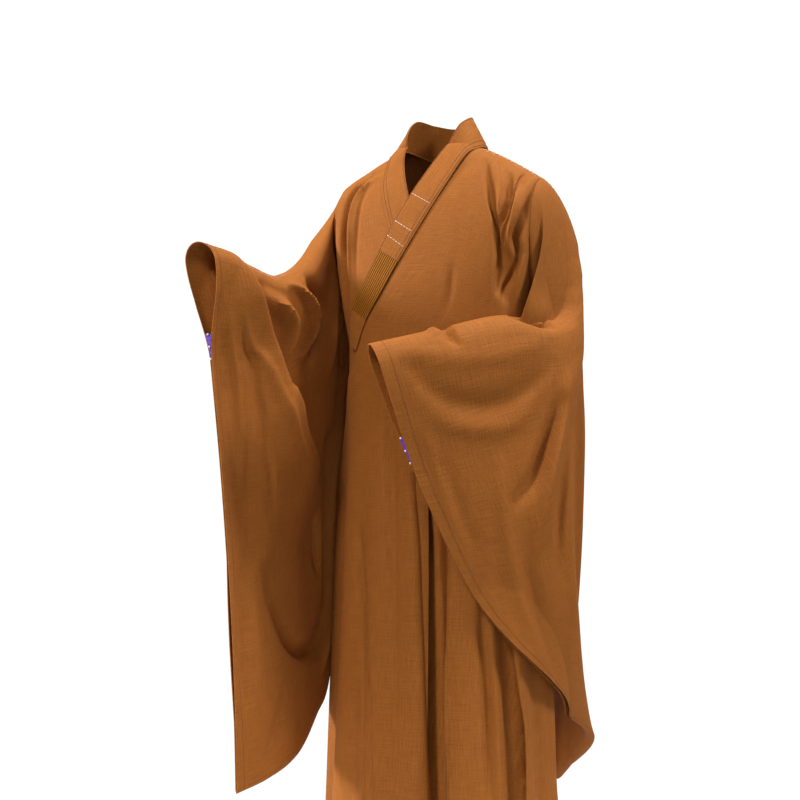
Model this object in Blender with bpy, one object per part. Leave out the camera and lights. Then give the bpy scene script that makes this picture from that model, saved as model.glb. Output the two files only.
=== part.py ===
"""A Buddhist monk's wide-sleeved ceremonial robe, hollow, as it is worn.

Metres, +Z up. The robe faces -Y, and the wearer's left is +X. The origin is the middle of the
shoulder line, where the wearer carries the robe. The hem hangs 1.36 m below it.
"""

import math

import bmesh
import bpy
import numpy as np

# Driving sizes of the robe
WALL = 0.0016
SEAM_GAP = 0.0003
HEM_DROP = 1.36
UNDERARM_DROP = 0.34
RIDGE_Y = 0.015
RIDGE_NECK_Z = 0.034
RIDGE_END_Z = -0.030
RIDGE_HALF = 0.200
NECK_SHARE = 0.38
BACK_NECK_ROW = 0.22
ARMHOLE_FRONT = 0.060
ARMHOLE_BACK = 0.075
SQUARENESS = 2.4
OVER_LAYER = 0.0056
COLLAR_LIFT = 0.0028
COLLAR_CLEAR = 0.0030
COLLAR_MOST_DROP = 0.012
COLLAR_STEEP_Y = -0.058
QUILT_RIBS = 11
RIB_HEIGHT = 0.0009
ARM_ARC = 0.24
ARMHOLE_REACH = 0.27
ARMHOLE_RUN = (0.075, 0.010, -0.060)
BODY_CLEAR = 0.026
LAYER_CLEAR = 0.005
COLLAR_INWARD = -1
MOUTH_CLOSES = 0.180
TACK_TOP = 0.165
TACK_FOOT = 0.211
TACK_THICK = 0.0014

# Sections of the body tube below the underarm: height, half width, depth to the front and back
BODY = [
    # z, half_width, front, back
    (-0.34, 0.186, 0.142, 0.135),
    (-0.46, 0.184, 0.146, 0.126),
    (-0.70, 0.198, 0.156, 0.145),
    (-1.00, 0.212, 0.168, 0.163),
    (-1.20, 0.220, 0.178, 0.176),
    (-1.36, 0.228, 0.186, 0.186),
]

# Folds of the body: bearing round it at the top and the hem (front 270, left 0, back 90),
# where it starts and is full, its half width on the shallow and the steep side, its depth
BODY_FOLDS = [
    # top_deg, hem_deg, start_z, full_z, shallow_deg, steep_deg, depth
    (287, 285.5, -0.40, -0.80, 9, 2.6, -0.044),
    (319, 332, -0.55, -0.95, 9, 3.0, -0.034),
    (262, 259, -0.55, -1.10, 8, 9.0, -0.008),
    (241, 238, -0.45, -1.00, 11, 9.0, -0.014),
    (213, 207, -0.40, -0.90, 12, 8.0, -0.022),
    (345, 352, -0.50, -1.00, 9, 7.0, -0.014),
    (190, 187, -0.38, -0.62, 16, 12.0, 0.014),
    (20, 23, -0.50, -1.05, 9, 6.0, -0.018),
    (50, 47, -0.40, -0.95, 13, 6.0, -0.024),
    (74, 71, -0.30, -0.85, 9, 9.0, -0.014),
    (101, 104, -0.28, -0.90, 14, 6.0, -0.026),
    (131, 134, -0.42, -1.00, 11, 7.0, -0.022),
    (157, 160, -0.50, -1.05, 10, 7.0, -0.018),
]

# Folds of the upper body that run from the shoulder to the armhole or the waist
CHEST_FOLDS = [
    # bearing_top, bearing_low, row_top, row_low, half_width_deg, depth
    (308, 327, 0.04, 0.86, 5.5, -0.008),
    (335, 332, 0.05, 0.92, 5.0, -0.011),
    (226, 206, 0.06, 0.95, 6.0, -0.009),
    (62, 38, 0.10, 0.95, 7.0, -0.010),
    (120, 143, 0.10, 0.95, 7.0, -0.010),
]

# The collar: its free edge, its sewn edge, how far it lies on the front, and its lift off it.
# It starts at the right of the waist, climbs the left front, rounds the neck and goes down
# the right front under the other. Where it lies on the front its y comes from the front.
COLLAR = [
    # free x y z, sewn x y z, on_front, lift
    (-0.145, -0.080, -0.338, -0.126, -0.110, -0.352, 1.0, 0.0084),
    (-0.137, -0.095, -0.278, -0.102, -0.115, -0.300, 1.0, 0.0084),
    (-0.106, -0.115, -0.221, -0.067, -0.130, -0.246, 1.0, 0.0084),
    (-0.076, -0.125, -0.166, -0.034, -0.135, -0.190, 1.0, 0.0084),
    (-0.050, -0.115, -0.112, -0.003, -0.125, -0.136, 1.0, 0.0084),
    (-0.022, -0.095, -0.062, 0.026, -0.105, -0.084, 1.0, 0.0084),
    (0.014, -0.078, 0.002, 0.054, -0.082, -0.030, 0.7, 0.0080),
    (0.034, -0.056, 0.040, 0.070, -0.058, 0.008, 0.2, 0.0060),
    (0.048, -0.030, 0.074, 0.081, -0.014, 0.039, 0.0, 0.0050),
    (0.054, 0.012, 0.092, 0.080, 0.032, 0.036, 0.0, 0.0050),
    (0.036, 0.049, 0.086, 0.054, 0.076, 0.008, 0.0, 0.0050),
    (0.000, 0.062, 0.080, 0.000, 0.084, 0.000, 0.0, 0.0050),
    (-0.036, 0.049, 0.086, -0.054, 0.076, 0.008, 0.0, 0.0050),
    (-0.056, 0.010, 0.090, -0.083, 0.028, 0.036, 0.0, 0.0050),
    (-0.060, -0.030, 0.062, -0.090, -0.022, 0.028, 0.1, 0.0045),
    (-0.056, -0.056, 0.022, -0.092, -0.054, 0.002, 0.4, 0.0040),
    (-0.050, -0.072, -0.008, -0.090, -0.074, -0.042, 0.8, 0.0030),
    (-0.026, -0.098, -0.070, -0.073, -0.100, -0.092, 1.0, 0.0028),
    (0.004, -0.120, -0.140, -0.045, -0.125, -0.160, 1.0, 0.0028),
    (0.038, -0.130, -0.220, -0.010, -0.135, -0.240, 1.0, 0.0028),
    (0.066, -0.130, -0.310, 0.018, -0.135, -0.325, 1.0, 0.0028),
]
QUILT_TOP = 3.0
QUILT_FOOT = 1.1

# Where each front is cut along the collar: height, x at the cut
OVER_CUT = [
    # z, x
    (-0.400, -0.150),
    (-0.356, -0.130),
    (-0.300, -0.112),
    (-0.246, -0.077),
    (-0.190, -0.045),
    (-0.136, -0.014),
    (-0.084, 0.015),
    (-0.026, 0.046),
    (0.022, 0.066),
    (0.034, 0.070),
]
UNDER_CUT = [
    # z, x
    (-0.400, 0.030),
    (-0.325, 0.028),
    (-0.240, 0.002),
    (-0.160, -0.033),
    (-0.092, -0.062),
    (-0.042, -0.078),
    (0.010, -0.078),
    (0.034, -0.072),
]

# The sleeves. along is the share of the way from armhole to cuff. top is the cloth's line over
# the arm, middle and low are halfway down and the bottom fold of the hanging bag. near and far
# are how far the two layers stand off the top line at the arm, near_fall and far_fall how far
# down they do, and bag_half is half of the hanging bag's thickness. side_top, side_middle and
# side_low are the bearings that the near layer faces at those three places.
RIGHT_SLEEVE = [
    # along, top x y z, middle x y z, low x y z,
    # near x y, far x y, near_fall, far_fall, bag_half, side_top, side_middle, side_low
    (0.00, -0.200, 0.015, -0.030, -0.198, 0.020, -0.185, -0.186, 0.015, -0.340,
     0.000, -0.050, 0.000, 0.050, 0.050, 0.050, 0.040, 270, 270, 270),
    (0.14, -0.226, -0.004, -0.070, -0.222, 0.000, -0.270, -0.206, 0.006, -0.500,
     0.016, -0.043, -0.014, 0.038, 0.046, 0.040, 0.022, 290, 300, 300),
    (0.28, -0.238, -0.058, -0.126, -0.232, -0.022, -0.390, -0.226, 0.000, -0.780,
     0.034, -0.028, -0.028, 0.023, 0.044, 0.040, 0.014, 320, 325, 325),
    (0.42, -0.244, -0.130, -0.188, -0.240, -0.066, -0.530, -0.235, -0.026, -1.000,
     0.038, -0.018, -0.031, 0.014, 0.042, 0.040, 0.012, 335, 340, 345),
    (0.54, -0.256, -0.196, -0.212, -0.250, -0.122, -0.590, -0.237, -0.070, -1.055,
     0.038, -0.014, -0.032, 0.012, 0.040, 0.040, 0.012, 340, 347, 350),
    (0.70, -0.278, -0.266, -0.196, -0.256, -0.205, -0.625, -0.236, -0.150, -1.118,
     0.037, -0.010, -0.033, 0.009, 0.038, 0.040, 0.012, 345, 348, 352),
    (0.86, -0.300, -0.326, -0.172, -0.264, -0.285, -0.645, -0.240, -0.250, -1.142,
     0.035, -0.006, -0.033, 0.006, 0.036, 0.040, 0.007, 350, 352, 355),
    (1.00, -0.318, -0.366, -0.160, -0.270, -0.352, -0.655, -0.246, -0.352, -1.150,
     0.034, -0.003, -0.034, 0.003, 0.034, 0.040, 0.0022, 355, 355, 357),
]
LEFT_SLEEVE = [
    # along, top x y z, middle x y z, low x y z,
    # near x y, far x y, near_fall, far_fall, bag_half, side_top, side_middle, side_low
    (0.00, 0.200, 0.015, -0.030, 0.198, 0.020, -0.185, 0.186, 0.015, -0.340,
     0.000, 0.050, 0.000, -0.050, 0.050, 0.050, 0.040, 90, 90, 90),
    (0.12, 0.228, 0.026, -0.078, 0.220, 0.062, -0.300, 0.196, 0.120, -0.560,
     0.005, 0.044, -0.005, -0.050, 0.044, 0.080, 0.020, 84, 76, 70),
    (0.26, 0.242, 0.036, -0.162, 0.234, 0.090, -0.480, 0.160, 0.206, -0.920,
     0.012, 0.034, -0.034, -0.091, 0.034, 0.080, 0.013, 70, 55, 72),
    (0.40, 0.242, 0.032, -0.262, 0.246, 0.068, -0.640, 0.140, 0.234, -1.190,
     0.022, 0.018, -0.052, -0.100, 0.028, 0.030, 0.012, 40, 25, 70),
    (0.52, 0.222, -0.006, -0.298, 0.250, 0.024, -0.710, 0.182, 0.230, -1.166,
     0.030, 0.000, -0.057, -0.069, 0.030, 0.030, 0.011, 5, 3, 55),
    (0.68, 0.158, -0.095, -0.290, 0.240, -0.024, -0.750, 0.226, 0.204, -1.124,
     0.029, -0.018, -0.029, 0.018, 0.034, 0.040, 0.010, -32, -20, 32),
    (0.84, 0.073, -0.198, -0.318, 0.188, -0.090, -0.775, 0.240, 0.164, -1.090,
     0.024, -0.024, -0.024, 0.024, 0.034, 0.040, 0.008, -45, -38, 6),
    (1.00, -0.014, -0.288, -0.345, 0.120, -0.150, -0.785, 0.229, 0.102, -1.056,
     0.021, -0.025, -0.019, 0.023, 0.032, 0.040, 0.0030, -50, -48, -8),
]

# Folds of the hanging cloth: three points of each fold's line, as the share along the sleeve
# and down it, its half width towards the armhole and the cuff, its height on the near side
RIGHT_SLEEVE_FOLDS = [
    # along, down, along, down, along, down, wide_arm, wide_cuff, height
    (0.83, 0.02, 0.572, 0.295, 0.425, 0.63, 0.022, 0.120, 0.034),
    (0.95, 0.10, 0.92, 0.40, 0.88, 0.80, 0.040, 0.040, -0.008),
]
LEFT_SLEEVE_FOLDS = [
    # along, down, along, down, along, down, wide_arm, wide_cuff, height
    (0.46, 0.10, 0.60, 0.40, 0.74, 0.80, 0.060, 0.060, 0.012),
    (0.44, 0.22, 0.46, 0.60, 0.50, 0.92, 0.050, 0.050, -0.012),
]
SLEEVE_RUN = 0.75
SLEEVE_FALL = 0.95


def through(keys, values, at):
    """A smooth curve through a table: Hermite pieces with the table's own slopes."""
    keys = np.asarray(keys, float)
    values = np.asarray(values, float)
    at = np.clip(np.asarray(at, float), keys[0], keys[-1])
    slopes = np.gradient(values, keys, axis=0)
    i = np.clip(np.searchsorted(keys, at, side="right") - 1, 0, len(keys) - 2)
    span = keys[i + 1] - keys[i]
    t = (at - keys[i]) / span
    if values.ndim > 1:
        t = t[..., None]
        span = span[..., None]
    ends = (2 * t**3 - 3 * t**2 + 1) * values[i] + (3 * t**2 - 2 * t**3) * values[i + 1]
    turns = (t**3 - 2 * t**2 + t) * slopes[i] + (t**3 - t**2) * slopes[i + 1]
    return ends + turns * span


def smooth_step(t):
    t = np.clip(t, 0.0, 1.0)
    return t * t * (3 - 2 * t)


def column(table, index):
    return [row[index] for row in table]


def hump(distance, low_side, high_side):
    """1 at the fold's line, falling to 0 over a different width on each side."""
    width = np.where(distance < 0, low_side, high_side)
    return np.exp(-((distance / width) ** 2))


def turn_between(bearing, centre):
    """Signed degrees from one bearing to another, the short way round."""
    return (bearing - centre + 180.0) % 360.0 - 180.0


def body_sizes(z):
    heights = column(BODY, 0)[::-1]
    return [through(heights, column(BODY, k)[::-1], z) for k in (1, 2, 3)]


def fold_depth(bearing, row, z):
    """How far the body's folds move its cloth outward, at a bearing and a height."""
    moved = np.zeros(np.broadcast(bearing, z).shape)
    for top_deg, hem_deg, start_z, full_z, shallow, steep, depth in BODY_FOLDS:
        share = smooth_step((z - start_z) / (full_z - start_z))
        centre = top_deg + (hem_deg - top_deg) * (z - start_z) / (-HEM_DROP - start_z)
        moved += depth * share * hump(turn_between(bearing, centre), shallow, steep)
    for top_deg, low_deg, row_top, row_low, width, depth in CHEST_FOLDS:
        along = (row - row_top) / (row_low - row_top)
        centre = top_deg + (low_deg - top_deg) * along
        share = smooth_step(along / 0.2) * smooth_step((1.15 - along) / 0.4)
        moved += depth * share * hump(turn_between(bearing, centre), width, width)
    return moved


def ridge_height(across):
    past_neck = np.clip((np.abs(across) - NECK_SHARE) / (1 - NECK_SHARE), 0, 1)
    return RIDGE_NECK_Z + (RIDGE_END_Z - RIDGE_NECK_Z) * past_neck**1.2


def body_point(side, angle, row):
    """A point of the body's cloth. side is -1 for the front and 1 for the back. angle runs from
    -90 at the right side to 90 at the left. row is 0 at the ridge, 1 at the underarm, 2 at the
    hem. The point stands clear of the seam at the ridge and the sides by half the seam gap."""
    angle, row = np.broadcast_arrays(np.asarray(angle, float), np.asarray(row, float))
    turn = np.radians(angle)
    across = np.sign(turn) * np.abs(np.sin(turn)) ** (2 / SQUARENESS)
    deep = np.abs(np.cos(turn)) ** (2 / SQUARENESS)
    top = np.clip(row, 0, 1)
    low_z = -UNDERARM_DROP + (UNDERARM_DROP - HEM_DROP) * np.clip(row - 1, 0, 1)
    half, front, back = body_sizes(low_z)
    depth = front if side < 0 else back
    rise = 1 - np.cos(top * math.pi / 2)
    reach = np.sin(top * math.pi / 2) ** 0.85
    half = RIDGE_HALF + (half - RIDGE_HALF) * rise
    ridge = ridge_height(across)
    z = np.where(row < 1, ridge * (1 - rise) + low_z * rise, low_z)
    bulge = (ARMHOLE_FRONT if side < 0 else ARMHOLE_BACK) * np.sin(math.pi * top)
    x = across * half
    y = RIDGE_Y + side * (depth * deep * reach + bulge * np.abs(across) ** 4)
    bearing = 270 + angle if side < 0 else 90 - angle
    moved = fold_depth(bearing, row, z)
    outward = np.stack([x / half**2, (y - RIDGE_Y) / depth**2], axis=-1)
    outward /= np.maximum(np.linalg.norm(outward, axis=-1, keepdims=True), 1e-6)
    x = x + moved * outward[..., 0]
    y = y + moved * outward[..., 1] + side * SEAM_GAP / 2
    return np.stack([x, y, z], axis=-1)


def front_at(x, z):
    """Angle and row of the front's cloth at this x and z, leaving the folds out."""
    rise = np.full(np.broadcast(x, z).shape, 0.5)
    across = np.zeros(rise.shape)
    for _ in range(12):
        low_half = body_sizes(np.minimum(z, -UNDERARM_DROP))[0]
        half = RIDGE_HALF + (low_half - RIDGE_HALF) * rise
        across = np.clip(x / half, -1, 1)
        ridge = ridge_height(across)
        rise = np.clip((ridge - z) / (ridge + UNDERARM_DROP), 0, 1)
    above = np.arccos(1 - rise) * 2 / math.pi
    below = 1 + (-UNDERARM_DROP - z) / (HEM_DROP - UNDERARM_DROP)
    angle = np.degrees(np.arcsin(np.abs(across) ** (SQUARENESS / 2))) * np.sign(across)
    return angle, np.where(z < -UNDERARM_DROP, below, above)


def front_lifted(x, z, lift):
    """A point over the front's cloth at this x and z, and how far it is lifted off it."""
    angle, row = front_at(x, z)
    point = body_point(-1, angle, row)
    step = 0.5
    across = body_point(-1, angle + step, row) - body_point(-1, angle - step, row)
    low = body_point(-1, angle, row + 0.01)
    down = low - body_point(-1, angle, np.maximum(row - 0.01, 0.001))
    outward = np.cross(down, across)
    outward /= np.linalg.norm(outward, axis=-1, keepdims=True)
    return point + outward * np.asarray(lift)[..., None]


def grid_normals(points, closed=False):
    """Unit normals of a grid of points, along its columns crossed with down its rows."""
    if closed:
        around = np.roll(points, -1, axis=1) - np.roll(points, 1, axis=1)
    else:
        around = np.gradient(points, axis=1)
    down = np.gradient(points, axis=0)
    normals = np.cross(around, down)
    size = np.linalg.norm(normals, axis=-1, keepdims=True)
    return normals / np.maximum(size, 1e-12)


def new_object(name, mesh, colour, roughness):
    shown = bpy.data.objects.new(name, mesh)
    material = bpy.data.materials.new(name)
    material.use_nodes = True
    shader = material.node_tree.nodes["Principled BSDF"]
    shader.inputs["Base Color"].default_value = (*colour, 1.0)
    shader.inputs["Roughness"].default_value = roughness
    mesh.materials.append(material)
    robe.objects.link(shown)
    return shown


def wall_between(name, outer, inner, colour, closed=False):
    """A closed wall from an outer grid of points and an inner grid of the same size. The outer
    one has its columns to the left of its rows, seen from outside."""
    rows, columns = outer.shape[:2]
    mesh = bmesh.new()
    out = [[mesh.verts.new(tuple(p)) for p in line] for line in outer]
    back = [[mesh.verts.new(tuple(p)) for p in line] for line in inner]
    for r in range(rows - 1):
        for c in range(columns if closed else columns - 1):
            d = (c + 1) % columns
            mesh.faces.new((out[r][c], out[r + 1][c], out[r + 1][d], out[r][d]))
            mesh.faces.new((back[r][c], back[r][d], back[r + 1][d], back[r + 1][c]))
    if not closed:
        for r in range(rows - 1):
            mesh.faces.new((out[r][0], back[r][0], back[r + 1][0], out[r + 1][0]))
            mesh.faces.new((out[r][-1], out[r + 1][-1], back[r + 1][-1], back[r][-1]))
    for c in range(columns if closed else columns - 1):
        d = (c + 1) % columns
        mesh.faces.new((out[0][c], out[0][d], back[0][d], back[0][c]))
        mesh.faces.new((out[-1][c], back[-1][c], back[-1][d], out[-1][d]))
    data = bpy.data.meshes.new(name)
    mesh.to_mesh(data)
    mesh.free()
    return new_object(name, data, colour, 0.85)


def cloth(name, outer, colour, inward=1, closed=False, level=()):
    """A cloth wall whose outer face is the grid of points. inward is 1 or -1, whichever turns
    the grid's normals in. level lists the rows and columns along a seam, and the axis that
    the wall's thickness stays square to there, so that the seam's gap is even."""
    normals = grid_normals(outer, closed) * inward
    for rows, columns, axis in level:
        normals[rows, columns, axis] = 0.0
    normals /= np.linalg.norm(normals, axis=-1, keepdims=True)
    inner = outer + normals * WALL
    if inward < 0:
        outer, inner = outer[:, ::-1], inner[:, ::-1]
    return wall_between(name, outer, inner, colour, closed)


BROWN = (0.33, 0.125, 0.035)
OCHRE = (0.36, 0.150, 0.025)
PURPLE = (0.13, 0.030, 0.300)


def spaced_rows(above, below):
    """Rows from the ridge to the hem, closer together over the shoulder."""
    return np.concatenate([np.linspace(0, 1, above), 1 + np.linspace(0, 1, below + 1)[1:]])


def cut_angles(cut, rows):
    """The angle of a front's cut neckline at each row."""
    angles = []
    heights = np.linspace(cut[0][0], cut[-1][0], 80)
    angle, row = front_at(through(column(cut, 0), column(cut, 1), heights), heights)
    order = np.argsort(row)
    angles = np.interp(rows, row[order], angle[order])
    return angles[:, None]


def over_panel(rows, columns):
    """The wearer's left front, which crosses over to the right side."""
    edge = cut_angles(OVER_CUT, rows)
    share = smooth_step((rows[:, None] - 1.02) / 0.20)
    edge = edge * (1 - share) - 84.0 * share
    angle = edge + (90 - edge) * np.linspace(0, 1, columns)
    row = np.broadcast_to(rows[:, None], angle.shape)
    points = body_point(-1, angle, row)
    lift = OVER_LAYER * smooth_step((62 - angle) / 40) * smooth_step(row / 0.25)
    return points - grid_normals(points) * lift[..., None]


def under_panel(rows, columns):
    """The wearer's right front, which runs on under the left one."""
    edge = cut_angles(UNDER_CUT, rows)
    angle = -90 + (edge + 90) * np.linspace(0, 1, columns)
    return body_point(-1, angle, np.broadcast_to(rows[:, None], angle.shape))


def back_panel(rows, columns):
    row = np.broadcast_to(rows[:, None], (len(rows), columns)).copy()
    angle = np.broadcast_to(np.linspace(-90, 90, columns), row.shape)
    across = np.abs(np.sin(np.radians(angle))) ** (2 / SQUARENESS)
    neck = BACK_NECK_ROW * np.sqrt(np.clip(1 - (across / NECK_SHARE) ** 2, 0, 1))
    row = np.where(row < 1, neck + (1 - neck) * row, row)
    return body_point(1, angle, row)


def shoulder_height(x, y):
    """Height of the shoulder's cloth at each x and y near the neck."""
    rows = np.linspace(0.0, 0.6, 120)[None, :]
    rise = 1 - np.cos(rows * math.pi / 2)
    half = RIDGE_HALF + (body_sizes(-UNDERARM_DROP)[0] - RIDGE_HALF) * rise
    across = np.clip(np.abs(x)[:, None] / half, 0, 1)
    angle = np.degrees(np.arcsin(across ** (SQUARENESS / 2))) * np.sign(x)[:, None]
    front = body_point(-1, angle, rows)
    back = body_point(1, angle, rows)
    heights = []
    for k in range(len(x)):
        near = front[k] if y[k] < RIDGE_Y else back[k]
        heights.append(np.interp(abs(y[k] - RIDGE_Y), np.abs(near[:, 1] - RIDGE_Y), near[:, 2]))
    return np.array(heights)


def collar(places, shares, extra=0.0, shift=0.0):
    """Points of the collar at places along its table and shares across it, 0 at the free edge
    and 1 at the sewn one, lifted by extra and moved past the sewn edge by shift."""
    keys = np.arange(len(COLLAR))
    values = through(keys, COLLAR, places)[:, None, :]
    free, sewn = values[..., 0:3], values[..., 3:6]
    across = (sewn - free) / np.linalg.norm(sewn - free, axis=-1, keepdims=True)
    share = np.asarray(shares)[None, :, None]
    flat = free + (sewn - free) * share + across * shift
    along = np.gradient(free[:, 0] + sewn[:, 0], axis=0)[:, None, :]
    face = np.cross(across, along)
    face /= np.linalg.norm(face, axis=-1, keepdims=True)
    standing = flat + face * (values[..., 7:8] + extra - COLLAR_LIFT)
    edge = (sewn + face * (values[..., 7:8] - COLLAR_LIFT))[:, 0]
    above = edge[:, 2] - shoulder_height(edge[:, 0], edge[:, 1]) - COLLAR_CLEAR
    over_ridge = smooth_step((edge[:, 1] - COLLAR_STEEP_Y) / 0.05)
    drop = (np.clip(above, 0, COLLAR_MOST_DROP) * over_ridge)[:, None]
    standing[..., 2] -= drop * smooth_step((share[..., 0] - 0.5) / 0.5)
    lift = np.broadcast_to(values[..., 7] + extra, flat.shape[:2])
    lying = front_lifted(flat[..., 0], flat[..., 2], lift)
    on_front = np.clip(values[..., 6:7], 0, 1)
    return standing * (1 - on_front) + lying * on_front


def curve_fold(folds, along, down):
    """How far the folds of a sleeve move its cloth towards the near side."""
    moved = np.zeros(along.shape)
    for a0, d0, a1, d1, a2, d2, wide_arm, wide_cuff, height in folds:
        t = np.linspace(0, 1, 161)
        path_a = (1 - t) ** 2 * a0 + 2 * t * (1 - t) * a1 + t**2 * a2
        path_d = (1 - t) ** 2 * d0 + 2 * t * (1 - t) * d1 + t**2 * d2
        gap_a = (along[..., None] - path_a) * SLEEVE_RUN
        gap_d = (down[..., None] - path_d) * SLEEVE_FALL
        nearest = np.argmin(gap_a**2 + gap_d**2, axis=-1)
        gap_a = np.take_along_axis(gap_a, nearest[..., None], -1)[..., 0]
        gap_d = np.take_along_axis(gap_d, nearest[..., None], -1)[..., 0]
        run_a = np.gradient(path_a * SLEEVE_RUN)[nearest]
        run_d = np.gradient(path_d * SLEEVE_FALL)[nearest]
        run = np.hypot(run_a, run_d)
        beside = (gap_a * run_d - gap_d * run_a) / run
        beyond = np.abs(gap_a * run_a + gap_d * run_d) / run
        place = t[nearest]
        ends = smooth_step(place / 0.2 + 0.4) * smooth_step((1 - place) / 0.35 + 0.15)
        fade = np.exp(-((beyond / 0.05) ** 2))
        moved += height * ends * fade * hump(beside, wide_arm, wide_cuff)
    return moved


def bent(start, middle, end, share):
    """The curve through three values at shares 0, 0.5 and 1."""
    first = start * (1 - share) * (1 - 2 * share)
    return first + middle * 4 * share * (1 - share) + end * share * (2 * share - 1)


def sheet_between(table, along, down):
    """The middle of a hanging sleeve, between its layers, with the table's other columns."""
    values = through(column(table, 0), [row[1:] for row in table], along)
    middle = bent(values[..., 0:3], values[..., 3:6], values[..., 6:9], down[..., None])
    return middle, values


def hanging(table, folds, along, share, near, inset=0.0):
    """Points of a sleeve's two layers, from its table alone. share is 0 over the arm and 1 at
    the bottom fold, and near tells which layer a point is in. inset is how far the points are
    inside the cloth's outer face."""
    values = sheet_between(table, along, share)[1]
    top, middle, low = values[..., 0:3], values[..., 3:6], values[..., 6:9]
    fall = np.where(near, values[..., 13], values[..., 14])
    bag = values[..., 15] - inset
    length = np.linalg.norm(middle - top, axis=-1) + np.linalg.norm(low - middle, axis=-1)
    wrap = np.clip(share / ARM_ARC, 0, 1) * math.pi / 2
    hang = np.clip((share - ARM_ARC) / (1 - ARM_ARC), 0, 1)
    drop = np.where(share < ARM_ARC, fall * (1 - np.cos(wrap)), fall + (length - fall) * hang)
    down = (inset + drop * (1 - 3 * inset / length)) / length
    line = sheet_between(table, along, down)[0]
    turned = np.radians(bent(values[..., 16], values[..., 17], values[..., 18], down))
    side = np.stack([np.cos(turned), np.sin(turned), np.zeros(turned.shape)], axis=-1)
    at_arm = np.where(near[..., None], values[..., 9:11], values[..., 11:13])
    stand_off = np.maximum(np.linalg.norm(at_arm, axis=-1, keepdims=True), 1e-6)
    at_arm = at_arm * np.maximum(1 - inset / stand_off, 0)
    at_arm = np.concatenate([at_arm, np.zeros(at_arm.shape[:-1] + (1,))], axis=-1)
    in_bag = smooth_step((drop - fall) / MOUTH_CLOSES)[..., None]
    rounding = np.clip(2.5 * bag, 0.008, 0.04)
    end = np.clip((drop - (length - rounding)) / rounding, 0, 1)
    half = np.where(near, bag, -bag) * np.sqrt(1 - end**2)
    stand = at_arm * np.sin(wrap)[..., None] * (1 - in_bag) + side * half[..., None] * in_bag
    common = curve_fold(folds, along, down) * smooth_step(along / 0.3) * (1 - end)
    points = line + stand + side * common[..., None]
    return clear_of_body(points, side, np.where(near, 1, -1), inset)


def sleeve(table, folds, stations, shares, inset=0.0):
    """Rings of the sleeve from the armhole to the cuff. Each ring starts over the arm, goes
    down the near layer at these shares, round the bottom fold and up the far layer. inset is
    how far the rings are inside the cloth's outer face."""
    sign = 1 if table is LEFT_SLEEVE else -1
    ring = np.concatenate([shares, shares[-2:0:-1]])
    share = np.broadcast_to(ring, (len(stations), len(ring)))
    near = np.broadcast_to(np.arange(len(ring)) < len(shares), share.shape)
    along = np.broadcast_to(stations[:, None], share.shape)
    points = hanging(table, folds, np.maximum(along, ARMHOLE_REACH), share, near, inset)
    meets = np.full(share.shape, ARMHOLE_REACH)
    run = hanging(table, folds, meets + 0.02, share, near, inset)
    run = (run - hanging(table, folds, meets, share, near, inset)) / 0.02 * ARMHOLE_REACH
    front = body_point(-1, np.full(share.shape, sign * 90.0), share)
    back = body_point(1, np.full(share.shape, sign * 90.0), share)
    loop = np.where((near == (sign < 0))[..., None], front, back)
    round_it = np.roll(loop, -1, axis=1) - np.roll(loop, 1, axis=1)
    inwards = np.stack([np.zeros(share.shape), -round_it[..., 2], round_it[..., 1]], axis=-1)
    inwards /= np.linalg.norm(inwards, axis=-1, keepdims=True)
    inwards *= np.sign((inwards * (loop.mean(axis=1, keepdims=True) - loop)).sum())
    loop = loop + inwards * inset + np.array([sign * SEAM_GAP, 0, 0])
    start = np.array(ARMHOLE_RUN) * [sign, sign, 1]
    t = np.clip(along / ARMHOLE_REACH, 0, 1)[..., None]
    ends = (2 * t**3 - 3 * t**2 + 1) * loop + (3 * t**2 - 2 * t**3) * points
    turns = (t**3 - 2 * t**2 + t) * start + (t**3 - t**2) * run
    return np.where(t < 1, ends + turns, points)


def clear_of_body(points, side, layer, inset):
    """Moves a sleeve's points out to clear the body's plain outline, and keeps its two layers
    in order as it does. layer is 1 on the near one and -1 on the far one."""
    radial = points[..., :2] / np.linalg.norm(points[..., :2], axis=-1, keepdims=True)
    facing = (radial * side[..., :2]).sum(-1) * layer
    gap = BODY_CLEAR + (LAYER_CLEAR - inset) * np.tanh(4 * facing)
    half, front, back = body_sizes(np.minimum(points[..., 2], -UNDERARM_DROP))
    depth = np.where(points[..., 1] < RIDGE_Y, front, back)
    across = points[..., 0]
    deep = points[..., 1] - RIDGE_Y
    reach = np.sqrt((across / (half + gap)) ** 2 + (deep / (depth + gap)) ** 2)
    push = np.maximum(1 / np.maximum(reach, 1e-6), 1.0)
    low = smooth_step((-0.20 - points[..., 2]) / 0.12)
    push = 1 + (push - 1) * low
    moved = points.copy()
    moved[..., 0] = across * push
    moved[..., 1] = RIDGE_Y + deep * push
    return moved


def tack(name, table, folds, stations):
    """The small web of thread that closes a cuff's mouth at its foot, just clear of the inner
    faces of the two layers. stations are the last two that the sleeve has rings at."""
    rings = sleeve(table, folds, stations, RING_SHARES, inset=WALL)
    foot = len(RING_SHARES)
    layers = (rings[:, :foot], np.concatenate([rings[:, :1], rings[:, :foot - 2:-1]], axis=1))
    depths = np.linspace(TACK_TOP, TACK_FOOT, 5)
    near, far = [
        [
            np.stack([np.interp(depths, ring[0, 2] - ring[:, 2], ring[:, k]) for k in range(3)], -1)
            for ring in layer
        ]
        for layer in layers
    ]
    inward = near[0] + far[0] - near[1] - far[1]
    inward /= np.linalg.norm(inward, axis=-1, keepdims=True)
    middle = (near[1] + far[1]) / 2
    half = (near[1] - far[1]) / 2
    size = np.linalg.norm(half, axis=-1, keepdims=True)
    half = half * (size - SEAM_GAP) / size
    outer = np.stack([middle + half, middle, middle - half], axis=1)
    inner = outer + inward[:, None, :] * TACK_THICK
    wall_between(name, outer[:, ::-1], inner[:, ::-1], PURPLE)


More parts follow.
